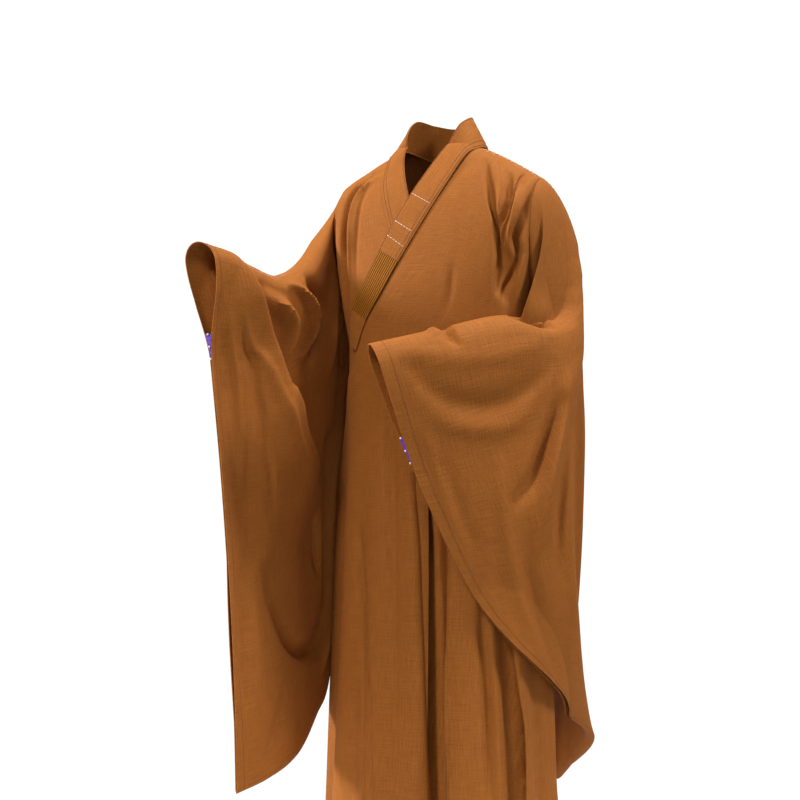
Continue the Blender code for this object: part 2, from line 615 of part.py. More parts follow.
ALL = slice(None)
RIDGE = (slice(0, 1), ALL, 1)
LEFT_SEAM = (ALL, slice(-1, None), 1)
RIGHT_SEAM = (ALL, slice(0, 1), 1)


RING_SHARES = np.array(
    [0, 0.05, 0.1, 0.16, 0.24, 0.32, 0.41, 0.5, 0.59, 0.68, 0.77, 0.85, 0.915, 0.955, 0.985, 1]
)


def build():
    rows = spaced_rows(9, 14)
    cloth("front_left", over_panel(rows, 27), BROWN, level=(RIDGE, LEFT_SEAM))
    cloth("front_right", under_panel(rows, 17), BROWN, level=(RIDGE, RIGHT_SEAM))
    cloth("back", back_panel(rows, 31), BROWN, inward=-1, level=(RIDGE, LEFT_SEAM, RIGHT_SEAM))
    stations = np.concatenate([[0.0, ARMHOLE_REACH / 2], np.linspace(ARMHOLE_REACH, 1, 14)])
    for side, table, folds in (
        ("right", RIGHT_SLEEVE, RIGHT_SLEEVE_FOLDS),
        ("left", LEFT_SLEEVE, LEFT_SLEEVE_FOLDS),
    ):
        outer = sleeve(table, folds, stations, RING_SHARES)
        inner = sleeve(table, folds, stations, RING_SHARES, inset=WALL)
        wall_between("sleeve_" + side, outer, inner, BROWN, closed=True)
        tack("tack_" + side, table, folds, stations[-2:])
    last = len(COLLAR) - 1
    plain = np.linspace(0, 1, 6)
    band = collar(np.linspace(QUILT_TOP + 0.01, last, 49), plain)
    cloth("collar_band", band, BROWN, inward=COLLAR_INWARD)
    tail = collar(np.linspace(0, QUILT_FOOT - 0.01, 5), plain)
    cloth("collar_end", tail, BROWN, inward=COLLAR_INWARD)
    places = np.linspace(QUILT_FOOT, QUILT_TOP, 9)
    shares = np.linspace(0, 1, 2 * QUILT_RIBS + 1)
    flat = collar(places, shares)
    raised = collar(places, shares, extra=RIB_HEIGHT)
    is_rib = (np.arange(len(shares)) % 2 == 1)[None, :, None]
    ribs = np.where(is_rib, raised, flat)[:, ::-1]
    plain_side = collar(places, shares, extra=-WALL)[:, ::-1]
    wall_between("collar_quilt", ribs, plain_side, OCHRE)


for old in list(bpy.data.objects):
    bpy.data.objects.remove(old)
robe = bpy.data.collections.new("monk_robe")
bpy.context.scene.collection.children.link(robe)
build()
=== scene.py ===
"""Looks of a Buddhist monk's wide-sleeved ceremonial robe, hollow, as it is worn.

The cloth is a set of thin shells on the solids' own form, with finer rows and columns and with
the creases of worn cloth placed one by one. Metres, +Z up, facing -Y, the wearer's left is +X.
"""

import math

import bpy
import numpy as np
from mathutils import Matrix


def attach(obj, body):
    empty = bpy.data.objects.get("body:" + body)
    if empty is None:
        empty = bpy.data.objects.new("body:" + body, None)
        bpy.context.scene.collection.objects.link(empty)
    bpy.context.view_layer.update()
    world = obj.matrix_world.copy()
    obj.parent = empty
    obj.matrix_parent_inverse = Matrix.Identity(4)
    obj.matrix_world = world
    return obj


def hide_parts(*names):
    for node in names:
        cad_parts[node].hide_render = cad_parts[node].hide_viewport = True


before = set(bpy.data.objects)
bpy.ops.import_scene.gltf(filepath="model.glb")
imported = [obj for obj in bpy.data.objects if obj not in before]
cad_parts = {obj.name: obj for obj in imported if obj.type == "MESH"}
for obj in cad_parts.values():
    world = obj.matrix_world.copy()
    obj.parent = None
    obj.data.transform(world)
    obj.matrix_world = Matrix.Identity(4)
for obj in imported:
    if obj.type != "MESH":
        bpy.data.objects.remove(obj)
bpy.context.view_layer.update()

# The photograph's view: bearing round the robe, distance, height, and the field that it takes in
PHOTO_SIDE_PX = 800
AXIS_PX = 442
CAMERA_BEARING = 24.0
CAMERA_DISTANCE = 3.5
CAMERA_HEIGHT = -0.445
FIELD_WIDE = 1.528
SENSOR_MM = 36.0


def linked(name, data):
    """An object with this data, in the scene."""
    shown = bpy.data.objects.new(name, data)
    bpy.context.scene.collection.objects.link(shown)
    return shown


def place_camera():
    bearing = math.radians(CAMERA_BEARING)
    data = bpy.data.cameras.new("photo_camera")
    data.sensor_width = SENSOR_MM
    data.lens = SENSOR_MM * CAMERA_DISTANCE / FIELD_WIDE
    data.shift_x = -(AXIS_PX - PHOTO_SIDE_PX / 2) / PHOTO_SIDE_PX
    camera = linked("photo_camera", data)
    camera.location = (
        CAMERA_DISTANCE * math.sin(bearing),
        -CAMERA_DISTANCE * math.cos(bearing),
        CAMERA_HEIGHT,
    )
    camera.rotation_euler = (math.pi / 2, 0.0, bearing)
    bpy.context.scene.camera = camera


place_camera()

# Driving sizes of the robe: its wall, its seams and its body, with the ridge of the shoulders,
# the neck and the armholes
WALL = 0.0016
SEAM_GAP = 0.0003
HEM_DROP = 1.36
UNDERARM_DROP = 0.34
RIDGE_Y = 0.015
RIDGE_NECK_Z = 0.034
RIDGE_END_Z = -0.030
RIDGE_HALF = 0.200
NECK_SHARE = 0.38
BACK_NECK_ROW = 0.22
ARMHOLE_FRONT = 0.060
ARMHOLE_BACK = 0.075
SQUARENESS = 2.4
RIDGE_CURVE = 1.2
SHOULDER_CURVE = 0.85

# The left front: its lift over the right one, fading out towards its own side and the shoulder,
# and the bearing and the rows at which its free edge leaves the collar
OVER_LAYER = 0.0056
OVER_LIFT_DEG = 62
OVER_LIFT_RUN = 40
OVER_LIFT_ROWS = 0.25
OVER_EDGE_DEG = -84.0
OVER_EDGE_ROW = 1.02
OVER_EDGE_RUN = 0.20

# The collar: its lift, how close it comes down to the shoulder and where, and its ribs
COLLAR_LIFT = 0.0028
COLLAR_CLEAR = 0.0030
COLLAR_MOST_DROP = 0.012
COLLAR_STEEP_Y = -0.058
COLLAR_STEEP_RUN = 0.05
QUILT_RIBS = 11
RIB_HEIGHT = 0.0007

# The sleeves: the share of the way down that lies over the arm, how far along and in which
# direction they leave the armhole, how they keep clear of the body, and how they close below
ARM_ARC = 0.24
ARMHOLE_REACH = 0.27
ARMHOLE_RUN = (0.075, 0.010, -0.060)
BODY_CLEAR = 0.026
LAYER_CLEAR = 0.005
LAYER_TURN = 4
CLEAR_FROM_Z = -0.20
CLEAR_RUN = 0.12
MOUTH_CLOSES = 0.180
BAG_ROUNDING = (0.008, 0.04)
BAG_ROUND_SHARE = 2.5

# The tacks, down the cuff from its top
TACK_TOP = 0.165
TACK_FOOT = 0.211
TACK_THICK = 0.0014

# Sections of the body tube below the underarm: height, half width, depth to the front and back
BODY = [
    # z, half_width, front, back
    (-0.34, 0.186, 0.142, 0.135),
    (-0.46, 0.184, 0.146, 0.126),
    (-0.70, 0.198, 0.156, 0.145),
    (-1.00, 0.212, 0.168, 0.163),
    (-1.20, 0.220, 0.178, 0.176),
    (-1.36, 0.228, 0.186, 0.186),
]

# Folds of the body: bearing round it at the top and the hem (front 270, left 0, back 90),
# where it starts and is full, its half width on the shallow and the steep side, its depth
BODY_FOLDS = [
    # top_deg, hem_deg, start_z, full_z, shallow_deg, steep_deg, depth
    (287, 285.5, -0.40, -0.80, 9, 2.6, -0.044),
    (319, 332, -0.55, -0.95, 9, 3.0, -0.034),
    (262, 259, -0.55, -1.10, 8, 9.0, -0.008),
    (241, 238, -0.45, -1.00, 11, 9.0, -0.014),
    (213, 207, -0.40, -0.90, 12, 8.0, -0.022),
    (345, 352, -0.50, -1.00, 9, 7.0, -0.014),
    (190, 187, -0.38, -0.62, 16, 12.0, 0.014),
    (20, 23, -0.50, -1.05, 9, 6.0, -0.018),
    (50, 47, -0.40, -0.95, 13, 6.0, -0.024),
    (74, 71, -0.30, -0.85, 9, 9.0, -0.014),
    (101, 104, -0.28, -0.90, 14, 6.0, -0.026),
    (131, 134, -0.42, -1.00, 11, 7.0, -0.022),
    (157, 160, -0.50, -1.05, 10, 7.0, -0.018),
]

# Folds of the upper body that run from the shoulder to the armhole or the waist, and the shares
# of their way over which they rise and fade
CHEST_RISE = 0.2
CHEST_END, CHEST_FADE = 1.15, 0.4
CHEST_FOLDS = [
    # bearing_top, bearing_low, row_top, row_low, half_width_deg, depth
    (308, 327, 0.04, 0.86, 5.5, -0.008),
    (335, 332, 0.05, 0.92, 5.0, -0.011),
    (226, 206, 0.06, 0.95, 6.0, -0.009),
    (62, 38, 0.10, 0.95, 7.0, -0.010),
    (120, 143, 0.10, 0.95, 7.0, -0.010),
]

# The collar: its free edge, its sewn edge, how far it lies on the front, and its lift off it.
# It starts at the right of the waist, climbs the left front, rounds the neck and goes down
# the right front under the other. Where it lies on the front its y comes from the front.
COLLAR = [
    # free x y z, sewn x y z, on_front, lift
    (-0.145, -0.080, -0.338, -0.126, -0.110, -0.352, 1.0, 0.0084),
    (-0.137, -0.095, -0.278, -0.102, -0.115, -0.300, 1.0, 0.0084),
    (-0.106, -0.115, -0.221, -0.067, -0.130, -0.246, 1.0, 0.0084),
    (-0.076, -0.125, -0.166, -0.034, -0.135, -0.190, 1.0, 0.0084),
    (-0.050, -0.115, -0.112, -0.003, -0.125, -0.136, 1.0, 0.0084),
    (-0.022, -0.095, -0.062, 0.026, -0.105, -0.084, 1.0, 0.0084),
    (0.014, -0.078, 0.002, 0.054, -0.082, -0.030, 0.7, 0.0080),
    (0.034, -0.056, 0.040, 0.070, -0.058, 0.008, 0.2, 0.0060),
    (0.048, -0.030, 0.074, 0.081, -0.014, 0.039, 0.0, 0.0050),
    (0.054, 0.012, 0.092, 0.080, 0.032, 0.036, 0.0, 0.0050),
    (0.036, 0.049, 0.086, 0.054, 0.076, 0.008, 0.0, 0.0050),
    (0.000, 0.062, 0.080, 0.000, 0.084, 0.000, 0.0, 0.0050),
    (-0.036, 0.049, 0.086, -0.054, 0.076, 0.008, 0.0, 0.0050),
    (-0.056, 0.010, 0.090, -0.083, 0.028, 0.036, 0.0, 0.0050),
    (-0.060, -0.030, 0.062, -0.090, -0.022, 0.028, 0.1, 0.0045),
    (-0.056, -0.056, 0.022, -0.092, -0.054, 0.002, 0.4, 0.0040),
    (-0.050, -0.072, -0.008, -0.090, -0.074, -0.042, 0.8, 0.0030),
    (-0.026, -0.098, -0.070, -0.073, -0.100, -0.092, 1.0, 0.0028),
    (0.004, -0.120, -0.140, -0.045, -0.125, -0.160, 1.0, 0.0028),
    (0.038, -0.130, -0.220, -0.010, -0.135, -0.240, 1.0, 0.0028),
    (0.066, -0.130, -0.310, 0.018, -0.135, -0.325, 1.0, 0.0028),
]
QUILT_TOP = 3.0
QUILT_FOOT = 1.1

# Where each front is cut along the collar: height, x at the cut
OVER_CUT = [
    # z, x
    (-0.400, -0.150),
    (-0.356, -0.130),
    (-0.300, -0.112),
    (-0.246, -0.077),
    (-0.190, -0.045),
    (-0.136, -0.014),
    (-0.084, 0.015),
    (-0.026, 0.046),
    (0.022, 0.066),
    (0.034, 0.070),
]
UNDER_CUT = [
    # z, x
    (-0.400, 0.030),
    (-0.325, 0.028),
    (-0.240, 0.002),
    (-0.160, -0.033),
    (-0.092, -0.062),
    (-0.042, -0.078),
    (0.010, -0.078),
    (0.034, -0.072),
]

# The sleeves. along is the share of the way from armhole to cuff. top is the cloth's line over
# the arm, middle and low are halfway down and the bottom fold of the hanging bag. near and far
# are how far the two layers stand off the top line at the arm, near_fall and far_fall how far
# down they do, and bag_half is half of the hanging bag's thickness. side_top, side_middle and
# side_low are the bearings that the near layer faces at those three places.
RIGHT_SLEEVE = [
    # along, top x y z, middle x y z, low x y z,
    # near x y, far x y, near_fall, far_fall, bag_half, side_top, side_middle, side_low
    (0.00, -0.200, 0.015, -0.030, -0.198, 0.020, -0.185, -0.186, 0.015, -0.340,
     0.000, -0.050, 0.000, 0.050, 0.050, 0.050, 0.040, 270, 270, 270),
    (0.14, -0.226, -0.004, -0.070, -0.222, 0.000, -0.270, -0.206, 0.006, -0.500,
     0.016, -0.043, -0.014, 0.038, 0.046, 0.040, 0.022, 290, 300, 300),
    (0.28, -0.238, -0.058, -0.126, -0.232, -0.022, -0.390, -0.226, 0.000, -0.780,
     0.034, -0.028, -0.028, 0.023, 0.044, 0.040, 0.014, 320, 325, 325),
    (0.42, -0.244, -0.130, -0.188, -0.240, -0.066, -0.530, -0.235, -0.026, -1.000,
     0.038, -0.018, -0.031, 0.014, 0.042, 0.040, 0.012, 335, 340, 345),
    (0.54, -0.256, -0.196, -0.212, -0.250, -0.122, -0.590, -0.237, -0.070, -1.055,
     0.038, -0.014, -0.032, 0.012, 0.040, 0.040, 0.012, 340, 347, 350),
    (0.70, -0.278, -0.266, -0.196, -0.256, -0.205, -0.625, -0.236, -0.150, -1.118,
     0.037, -0.010, -0.033, 0.009, 0.038, 0.040, 0.012, 345, 348, 352),
    (0.86, -0.300, -0.326, -0.172, -0.264, -0.285, -0.645, -0.240, -0.250, -1.142,
     0.035, -0.006, -0.033, 0.006, 0.036, 0.040, 0.007, 350, 352, 355),
    (1.00, -0.318, -0.366, -0.160, -0.270, -0.352, -0.655, -0.246, -0.352, -1.150,
     0.034, -0.003, -0.034, 0.003, 0.034, 0.040, 0.0022, 355, 355, 357),
]
LEFT_SLEEVE = [
    # along, top x y z, middle x y z, low x y z,
    # near x y, far x y, near_fall, far_fall, bag_half, side_top, side_middle, side_low
    (0.00, 0.200, 0.015, -0.030, 0.198, 0.020, -0.185, 0.186, 0.015, -0.340,
     0.000, 0.050, 0.000, -0.050, 0.050, 0.050, 0.040, 90, 90, 90),
    (0.12, 0.228, 0.026, -0.078, 0.220, 0.062, -0.300, 0.196, 0.120, -0.560,
     0.005, 0.044, -0.005, -0.050, 0.044, 0.080, 0.020, 84, 76, 70),
    (0.26, 0.242, 0.036, -0.162, 0.234, 0.090, -0.480, 0.160, 0.206, -0.920,
     0.012, 0.034, -0.034, -0.091, 0.034, 0.080, 0.013, 70, 55, 72),
    (0.40, 0.242, 0.032, -0.262, 0.246, 0.068, -0.640, 0.140, 0.234, -1.190,
     0.022, 0.018, -0.052, -0.100, 0.028, 0.030, 0.012, 40, 25, 70),
    (0.52, 0.222, -0.006, -0.298, 0.250, 0.024, -0.710, 0.182, 0.230, -1.166,
     0.030, 0.000, -0.057, -0.069, 0.030, 0.030, 0.011, 5, 3, 55),
    (0.68, 0.158, -0.095, -0.290, 0.240, -0.024, -0.750, 0.226, 0.204, -1.124,
     0.029, -0.018, -0.029, 0.018, 0.034, 0.040, 0.010, -32, -20, 32),
    (0.84, 0.073, -0.198, -0.318, 0.188, -0.090, -0.775, 0.240, 0.164, -1.090,
     0.024, -0.024, -0.024, 0.024, 0.034, 0.040, 0.008, -45, -38, 6),
    (1.00, -0.014, -0.288, -0.345, 0.120, -0.150, -0.785, 0.229, 0.102, -1.056,
     0.021, -0.025, -0.019, 0.023, 0.032, 0.040, 0.0030, -50, -48, -8),
]

# Folds of the hanging cloth: three points of each fold's line, as the share along the sleeve
# and down it, its half width towards the armhole and the cuff, its height on the near side
RIGHT_SLEEVE_FOLDS = [
    # along, down, along, down, along, down, wide_arm, wide_cuff, height
    (0.83, 0.02, 0.572, 0.295, 0.425, 0.63, 0.022, 0.120, 0.034),
    (0.95, 0.10, 0.92, 0.40, 0.88, 0.80, 0.040, 0.040, -0.008),
]
LEFT_SLEEVE_FOLDS = [
    # along, down, along, down, along, down, wide_arm, wide_cuff, height
    (0.46, 0.10, 0.60, 0.40, 0.74, 0.80, 0.060, 0.060, 0.012),
    (0.44, 0.22, 0.46, 0.60, 0.50, 0.92, 0.050, 0.050, -0.012),
]
# A sleeve's whole run and fall, and how its folds begin and end
SLEEVE_RUN = 0.75
SLEEVE_FALL = 0.95
FOLD_STEPS = 161
FOLD_END = 0.05
FOLD_STARTS = (0.2, 0.4)
FOLD_STOPS = (0.35, 0.15)
FOLD_ARM_RUN = 0.3

# Steps used to solve for a place on the front, and to find slopes on the front and a sleeve
SOLVE_STEPS = 12
SLOPE_STEP = 0.01
SLOPE_STEP_DEG = 0.5
SLEEVE_STEP = 0.02
CUT_STEPS = 80
SHOULDER_ROWS = np.linspace(0.0, 0.6, 120)[None, :]


def unit(vectors):
    return vectors / np.linalg.norm(vectors, axis=-1, keepdims=True)


def read_off(places, keys, points):
    """Points or normals at places in between, along straight lines."""
    return np.stack([np.interp(places, keys, points[:, k]) for k in range(3)], axis=-1)


def hermite(t, first, last, first_run, last_run):
    ends = (2 * t**3 - 3 * t**2 + 1) * first + (3 * t**2 - 2 * t**3) * last
    return ends + (t**3 - 2 * t**2 + t) * first_run + (t**3 - t**2) * last_run


def through(keys, values, at):
    """A smooth curve through a table: Hermite pieces with the table's own slopes."""
    keys = np.asarray(keys, float)
    values = np.asarray(values, float)
    at = np.clip(np.asarray(at, float), keys[0], keys[-1])
    slopes = np.gradient(values, keys, axis=0)
    i = np.clip(np.searchsorted(keys, at, side="right") - 1, 0, len(keys) - 2)
    span = keys[i + 1] - keys[i]
    t = (at - keys[i]) / span
    if values.ndim > 1:
        t = t[..., None]
        span = span[..., None]
    return hermite(t, values[i], values[i + 1], slopes[i] * span, slopes[i + 1] * span)


def smooth_step(t):
    t = np.clip(t, 0.0, 1.0)
    return t * t * (3 - 2 * t)


def column(table, index):
    return [row[index] for row in table]


def hump(distance, low_side, high_side):
    """1 at the fold's line, falling to 0 over a different width on each side."""
    width = np.where(distance < 0, low_side, high_side)
    return np.exp(-((distance / width) ** 2))


def turn_between(bearing, centre):
    """Signed degrees from one bearing to another, the short way round."""
    return (bearing - centre + 180.0) % 360.0 - 180.0


def body_sizes(z):
    heights = column(BODY, 0)[::-1]
    return [through(heights, column(BODY, k)[::-1], z) for k in (1, 2, 3)]


def fold_depth(bearing, row, z):
    """How far the body's folds move its cloth outward, at a bearing and a height."""
    moved = np.zeros(np.broadcast(bearing, z).shape)
    for top_deg, hem_deg, start_z, full_z, shallow, steep, depth in BODY_FOLDS:
        share = smooth_step((z - start_z) / (full_z - start_z))
        centre = top_deg + (hem_deg - top_deg) * (z - start_z) / (-HEM_DROP - start_z)
        moved += depth * share * hump(turn_between(bearing, centre), shallow, steep)
    for top_deg, low_deg, row_top, row_low, width, depth in CHEST_FOLDS:
        along = (row - row_top) / (row_low - row_top)
        centre = top_deg + (low_deg - top_deg) * along
        share = smooth_step(along / CHEST_RISE) * smooth_step((CHEST_END - along) / CHEST_FADE)
        moved += depth * share * hump(turn_between(bearing, centre), width, width)
    return moved


def ridge_height(across):
    past_neck = np.clip((np.abs(across) - NECK_SHARE) / (1 - NECK_SHARE), 0, 1)
    return RIDGE_NECK_Z + (RIDGE_END_Z - RIDGE_NECK_Z) * past_neck**RIDGE_CURVE


def body_point(side, angle, row):
    """A point of the body's cloth. side is -1 for the front and 1 for the back. angle runs from
    -90 at the right side to 90 at the left. row is 0 at the ridge, 1 at the underarm, 2 at the
    hem. The point stands clear of the seam at the ridge and the sides by half the seam gap."""
    angle, row = np.broadcast_arrays(np.asarray(angle, float), np.asarray(row, float))
    turn = np.radians(angle)
    across = np.sign(turn) * np.abs(np.sin(turn)) ** (2 / SQUARENESS)
    deep = np.abs(np.cos(turn)) ** (2 / SQUARENESS)
    top = np.clip(row, 0, 1)
    low_z = -UNDERARM_DROP + (UNDERARM_DROP - HEM_DROP) * np.clip(row - 1, 0, 1)
    half, front, back = body_sizes(low_z)
    depth = front if side < 0 else back
    rise = 1 - np.cos(top * math.pi / 2)
    reach = np.sin(top * math.pi / 2) ** SHOULDER_CURVE
    half = RIDGE_HALF + (half - RIDGE_HALF) * rise
    ridge = ridge_height(across)
    z = np.where(row < 1, ridge * (1 - rise) + low_z * rise, low_z)
    bulge = (ARMHOLE_FRONT if side < 0 else ARMHOLE_BACK) * np.sin(math.pi * top)
    x = across * half
    y = RIDGE_Y + side * (depth * deep * reach + bulge * np.abs(across) ** 4)
    bearing = 270 + angle if side < 0 else 90 - angle
    moved = fold_depth(bearing, row, z)
    outward = np.stack([x / half**2, (y - RIDGE_Y) / depth**2], axis=-1)
    outward /= np.maximum(np.linalg.norm(outward, axis=-1, keepdims=True), 1e-6)
    x = x + moved * outward[..., 0]
    y = y + moved * outward[..., 1] + side * SEAM_GAP / 2
    return np.stack([x, y, z], axis=-1)


def front_at(x, z):
    """Angle and row of the front's cloth at this x and z, leaving the folds out."""
    rise = np.full(np.broadcast(x, z).shape, 0.5)
    across = np.zeros(rise.shape)
    for _ in range(SOLVE_STEPS):
        low_half = body_sizes(np.minimum(z, -UNDERARM_DROP))[0]
        half = RIDGE_HALF + (low_half - RIDGE_HALF) * rise
        across = np.clip(x / half, -1, 1)
        ridge = ridge_height(across)
        rise = np.clip((ridge - z) / (ridge + UNDERARM_DROP), 0, 1)
    above = np.arccos(1 - rise) * 2 / math.pi
    below = 1 + (-UNDERARM_DROP - z) / (HEM_DROP - UNDERARM_DROP)
    angle = np.degrees(np.arcsin(np.abs(across) ** (SQUARENESS / 2))) * np.sign(across)
    return angle, np.where(z < -UNDERARM_DROP, below, above)


def front_lifted(x, z, lift):
    """A point over the front's cloth at this x and z, and how far it is lifted off it."""
    angle, row = front_at(x, z)
    point = body_point(-1, angle, row)
    left = body_point(-1, angle + SLOPE_STEP_DEG, row)
    across = left - body_point(-1, angle - SLOPE_STEP_DEG, row)
    low = body_point(-1, angle, row + SLOPE_STEP)
    down = low - body_point(-1, angle, np.maximum(row - SLOPE_STEP, SLOPE_STEP / 10))
    outward = unit(np.cross(down, across))
    return point + outward * np.asarray(lift)[..., None]


def grid_normals(points, closed=False):
    """Unit normals of a grid of points, along its columns crossed with down its rows."""
    if closed:
        around = np.roll(points, -1, axis=1) - np.roll(points, 1, axis=1)
    else:
        around = np.gradient(points, axis=1)
    down = np.gradient(points, axis=0)
    normals = np.cross(around, down)
    size = np.linalg.norm(normals, axis=-1, keepdims=True)
    return normals / np.maximum(size, 1e-12)


def spaced_rows(above, below):
    """Rows from the ridge to the hem, closer together over the shoulder."""
    return np.concatenate([np.linspace(0, 1, above), 1 + np.linspace(0, 1, below + 1)[1:]])


def cut_angles(cut, rows):
    """The angle of a front's cut neckline at each row."""
    heights = np.linspace(cut[0][0], cut[-1][0], CUT_STEPS)
    angle, row = front_at(through(column(cut, 0), column(cut, 1), heights), heights)
    order = np.argsort(row)
    angles = np.interp(rows, row[order], angle[order])
    return angles[:, None]


def over_panel(rows, columns):
    """The wearer's left front, which crosses over to the right side."""
    edge = cut_angles(OVER_CUT, rows)
    share = smooth_step((rows[:, None] - OVER_EDGE_ROW) / OVER_EDGE_RUN)
    edge = edge * (1 - share) + OVER_EDGE_DEG * share
    angle = edge + (90 - edge) * np.linspace(0, 1, columns)
    row = np.broadcast_to(rows[:, None], angle.shape)
    points = body_point(-1, angle, row)
    lift = OVER_LAYER * smooth_step((OVER_LIFT_DEG - angle) / OVER_LIFT_RUN)
    lift *= smooth_step(row / OVER_LIFT_ROWS)
    return points - grid_normals(points) * lift[..., None]


def under_panel(rows, columns):
    """The wearer's right front, which runs on under the left one."""
    edge = cut_angles(UNDER_CUT, rows)
    angle = -90 + (edge + 90) * np.linspace(0, 1, columns)
    return body_point(-1, angle, np.broadcast_to(rows[:, None], angle.shape))


def back_panel(rows, columns):
    row = np.broadcast_to(rows[:, None], (len(rows), columns)).copy()
    angle = np.broadcast_to(np.linspace(-90, 90, columns), row.shape)
    across = np.abs(np.sin(np.radians(angle))) ** (2 / SQUARENESS)
    neck = BACK_NECK_ROW * np.sqrt(np.clip(1 - (across / NECK_SHARE) ** 2, 0, 1))
    row = np.where(row < 1, neck + (1 - neck) * row, row)
    return body_point(1, angle, row)


def shoulder_height(x, y):
    """Height of the shoulder's cloth at each x and y near the neck."""
    rise = 1 - np.cos(SHOULDER_ROWS * math.pi / 2)
    half = RIDGE_HALF + (body_sizes(-UNDERARM_DROP)[0] - RIDGE_HALF) * rise
    across = np.clip(np.abs(x)[:, None] / half, 0, 1)
    angle = np.degrees(np.arcsin(across ** (SQUARENESS / 2))) * np.sign(x)[:, None]
    front = body_point(-1, angle, SHOULDER_ROWS)
    back = body_point(1, angle, SHOULDER_ROWS)
    heights = []
    for k in range(len(x)):
        near = front[k] if y[k] < RIDGE_Y else back[k]
        heights.append(np.interp(abs(y[k] - RIDGE_Y), np.abs(near[:, 1] - RIDGE_Y), near[:, 2]))
    return np.array(heights)


def collar(places, shares, extra=0.0):
    """Points of the collar at places along its table and shares across it, 0 at the free edge
    and 1 at the sewn one, lifted by extra."""
    keys = np.arange(len(COLLAR))
    values = through(keys, COLLAR, places)[:, None, :]
    free, sewn = values[..., 0:3], values[..., 3:6]
    across = unit(sewn - free)
    share = np.asarray(shares)[None, :, None]
    flat = free + (sewn - free) * share
    along = np.gradient(free[:, 0] + sewn[:, 0], axis=0)[:, None, :]
    face = unit(np.cross(across, along))
    standing = flat + face * (values[..., 7:8] + extra - COLLAR_LIFT)
    edge = (sewn + face * (values[..., 7:8] - COLLAR_LIFT))[:, 0]
    above = edge[:, 2] - shoulder_height(edge[:, 0], edge[:, 1]) - COLLAR_CLEAR
    over_ridge = smooth_step((edge[:, 1] - COLLAR_STEEP_Y) / COLLAR_STEEP_RUN)
    drop = (np.clip(above, 0, COLLAR_MOST_DROP) * over_ridge)[:, None]
    standing[..., 2] -= drop * smooth_step((share[..., 0] - 0.5) / 0.5)
    lift = np.broadcast_to(values[..., 7] + extra, flat.shape[:2])
    lying = front_lifted(flat[..., 0], flat[..., 2], lift)
    on_front = np.clip(values[..., 6:7], 0, 1)
    return standing * (1 - on_front) + lying * on_front


def curve_fold(folds, along, down):
    """How far the folds of a sleeve move its cloth towards the near side."""
    moved = np.zeros(along.shape)
    for a0, d0, a1, d1, a2, d2, wide_arm, wide_cuff, height in folds:
        t = np.linspace(0, 1, FOLD_STEPS)
        path_a = (1 - t) ** 2 * a0 + 2 * t * (1 - t) * a1 + t**2 * a2
        path_d = (1 - t) ** 2 * d0 + 2 * t * (1 - t) * d1 + t**2 * d2
        gap_a = (along[..., None] - path_a) * SLEEVE_RUN
        gap_d = (down[..., None] - path_d) * SLEEVE_FALL
        nearest = np.argmin(gap_a**2 + gap_d**2, axis=-1)
        gap_a = np.take_along_axis(gap_a, nearest[..., None], -1)[..., 0]
        gap_d = np.take_along_axis(gap_d, nearest[..., None], -1)[..., 0]
        run_a = np.gradient(path_a * SLEEVE_RUN)[nearest]
        run_d = np.gradient(path_d * SLEEVE_FALL)[nearest]
        run = np.hypot(run_a, run_d)
        beside = (gap_a * run_d - gap_d * run_a) / run
        beyond = np.abs(gap_a * run_a + gap_d * run_d) / run
        place = t[nearest]
        ends = smooth_step(place / FOLD_STARTS[0] + FOLD_STARTS[1])
        ends *= smooth_step((1 - place) / FOLD_STOPS[0] + FOLD_STOPS[1])
        fade = np.exp(-((beyond / FOLD_END) ** 2))
        moved += height * ends * fade * hump(beside, wide_arm, wide_cuff)
    return moved


def bent(start, middle, end, share):
    """The curve through three values at shares 0, 0.5 and 1."""
    first = start * (1 - share) * (1 - 2 * share)
    return first + middle * 4 * share * (1 - share) + end * share * (2 * share - 1)


def sheet_between(table, along, down):
    """The middle of a hanging sleeve, between its layers, with the table's other columns."""
    values = through(column(table, 0), [row[1:] for row in table], along)
    middle = bent(values[..., 0:3], values[..., 3:6], values[..., 6:9], down[..., None])
    return middle, values


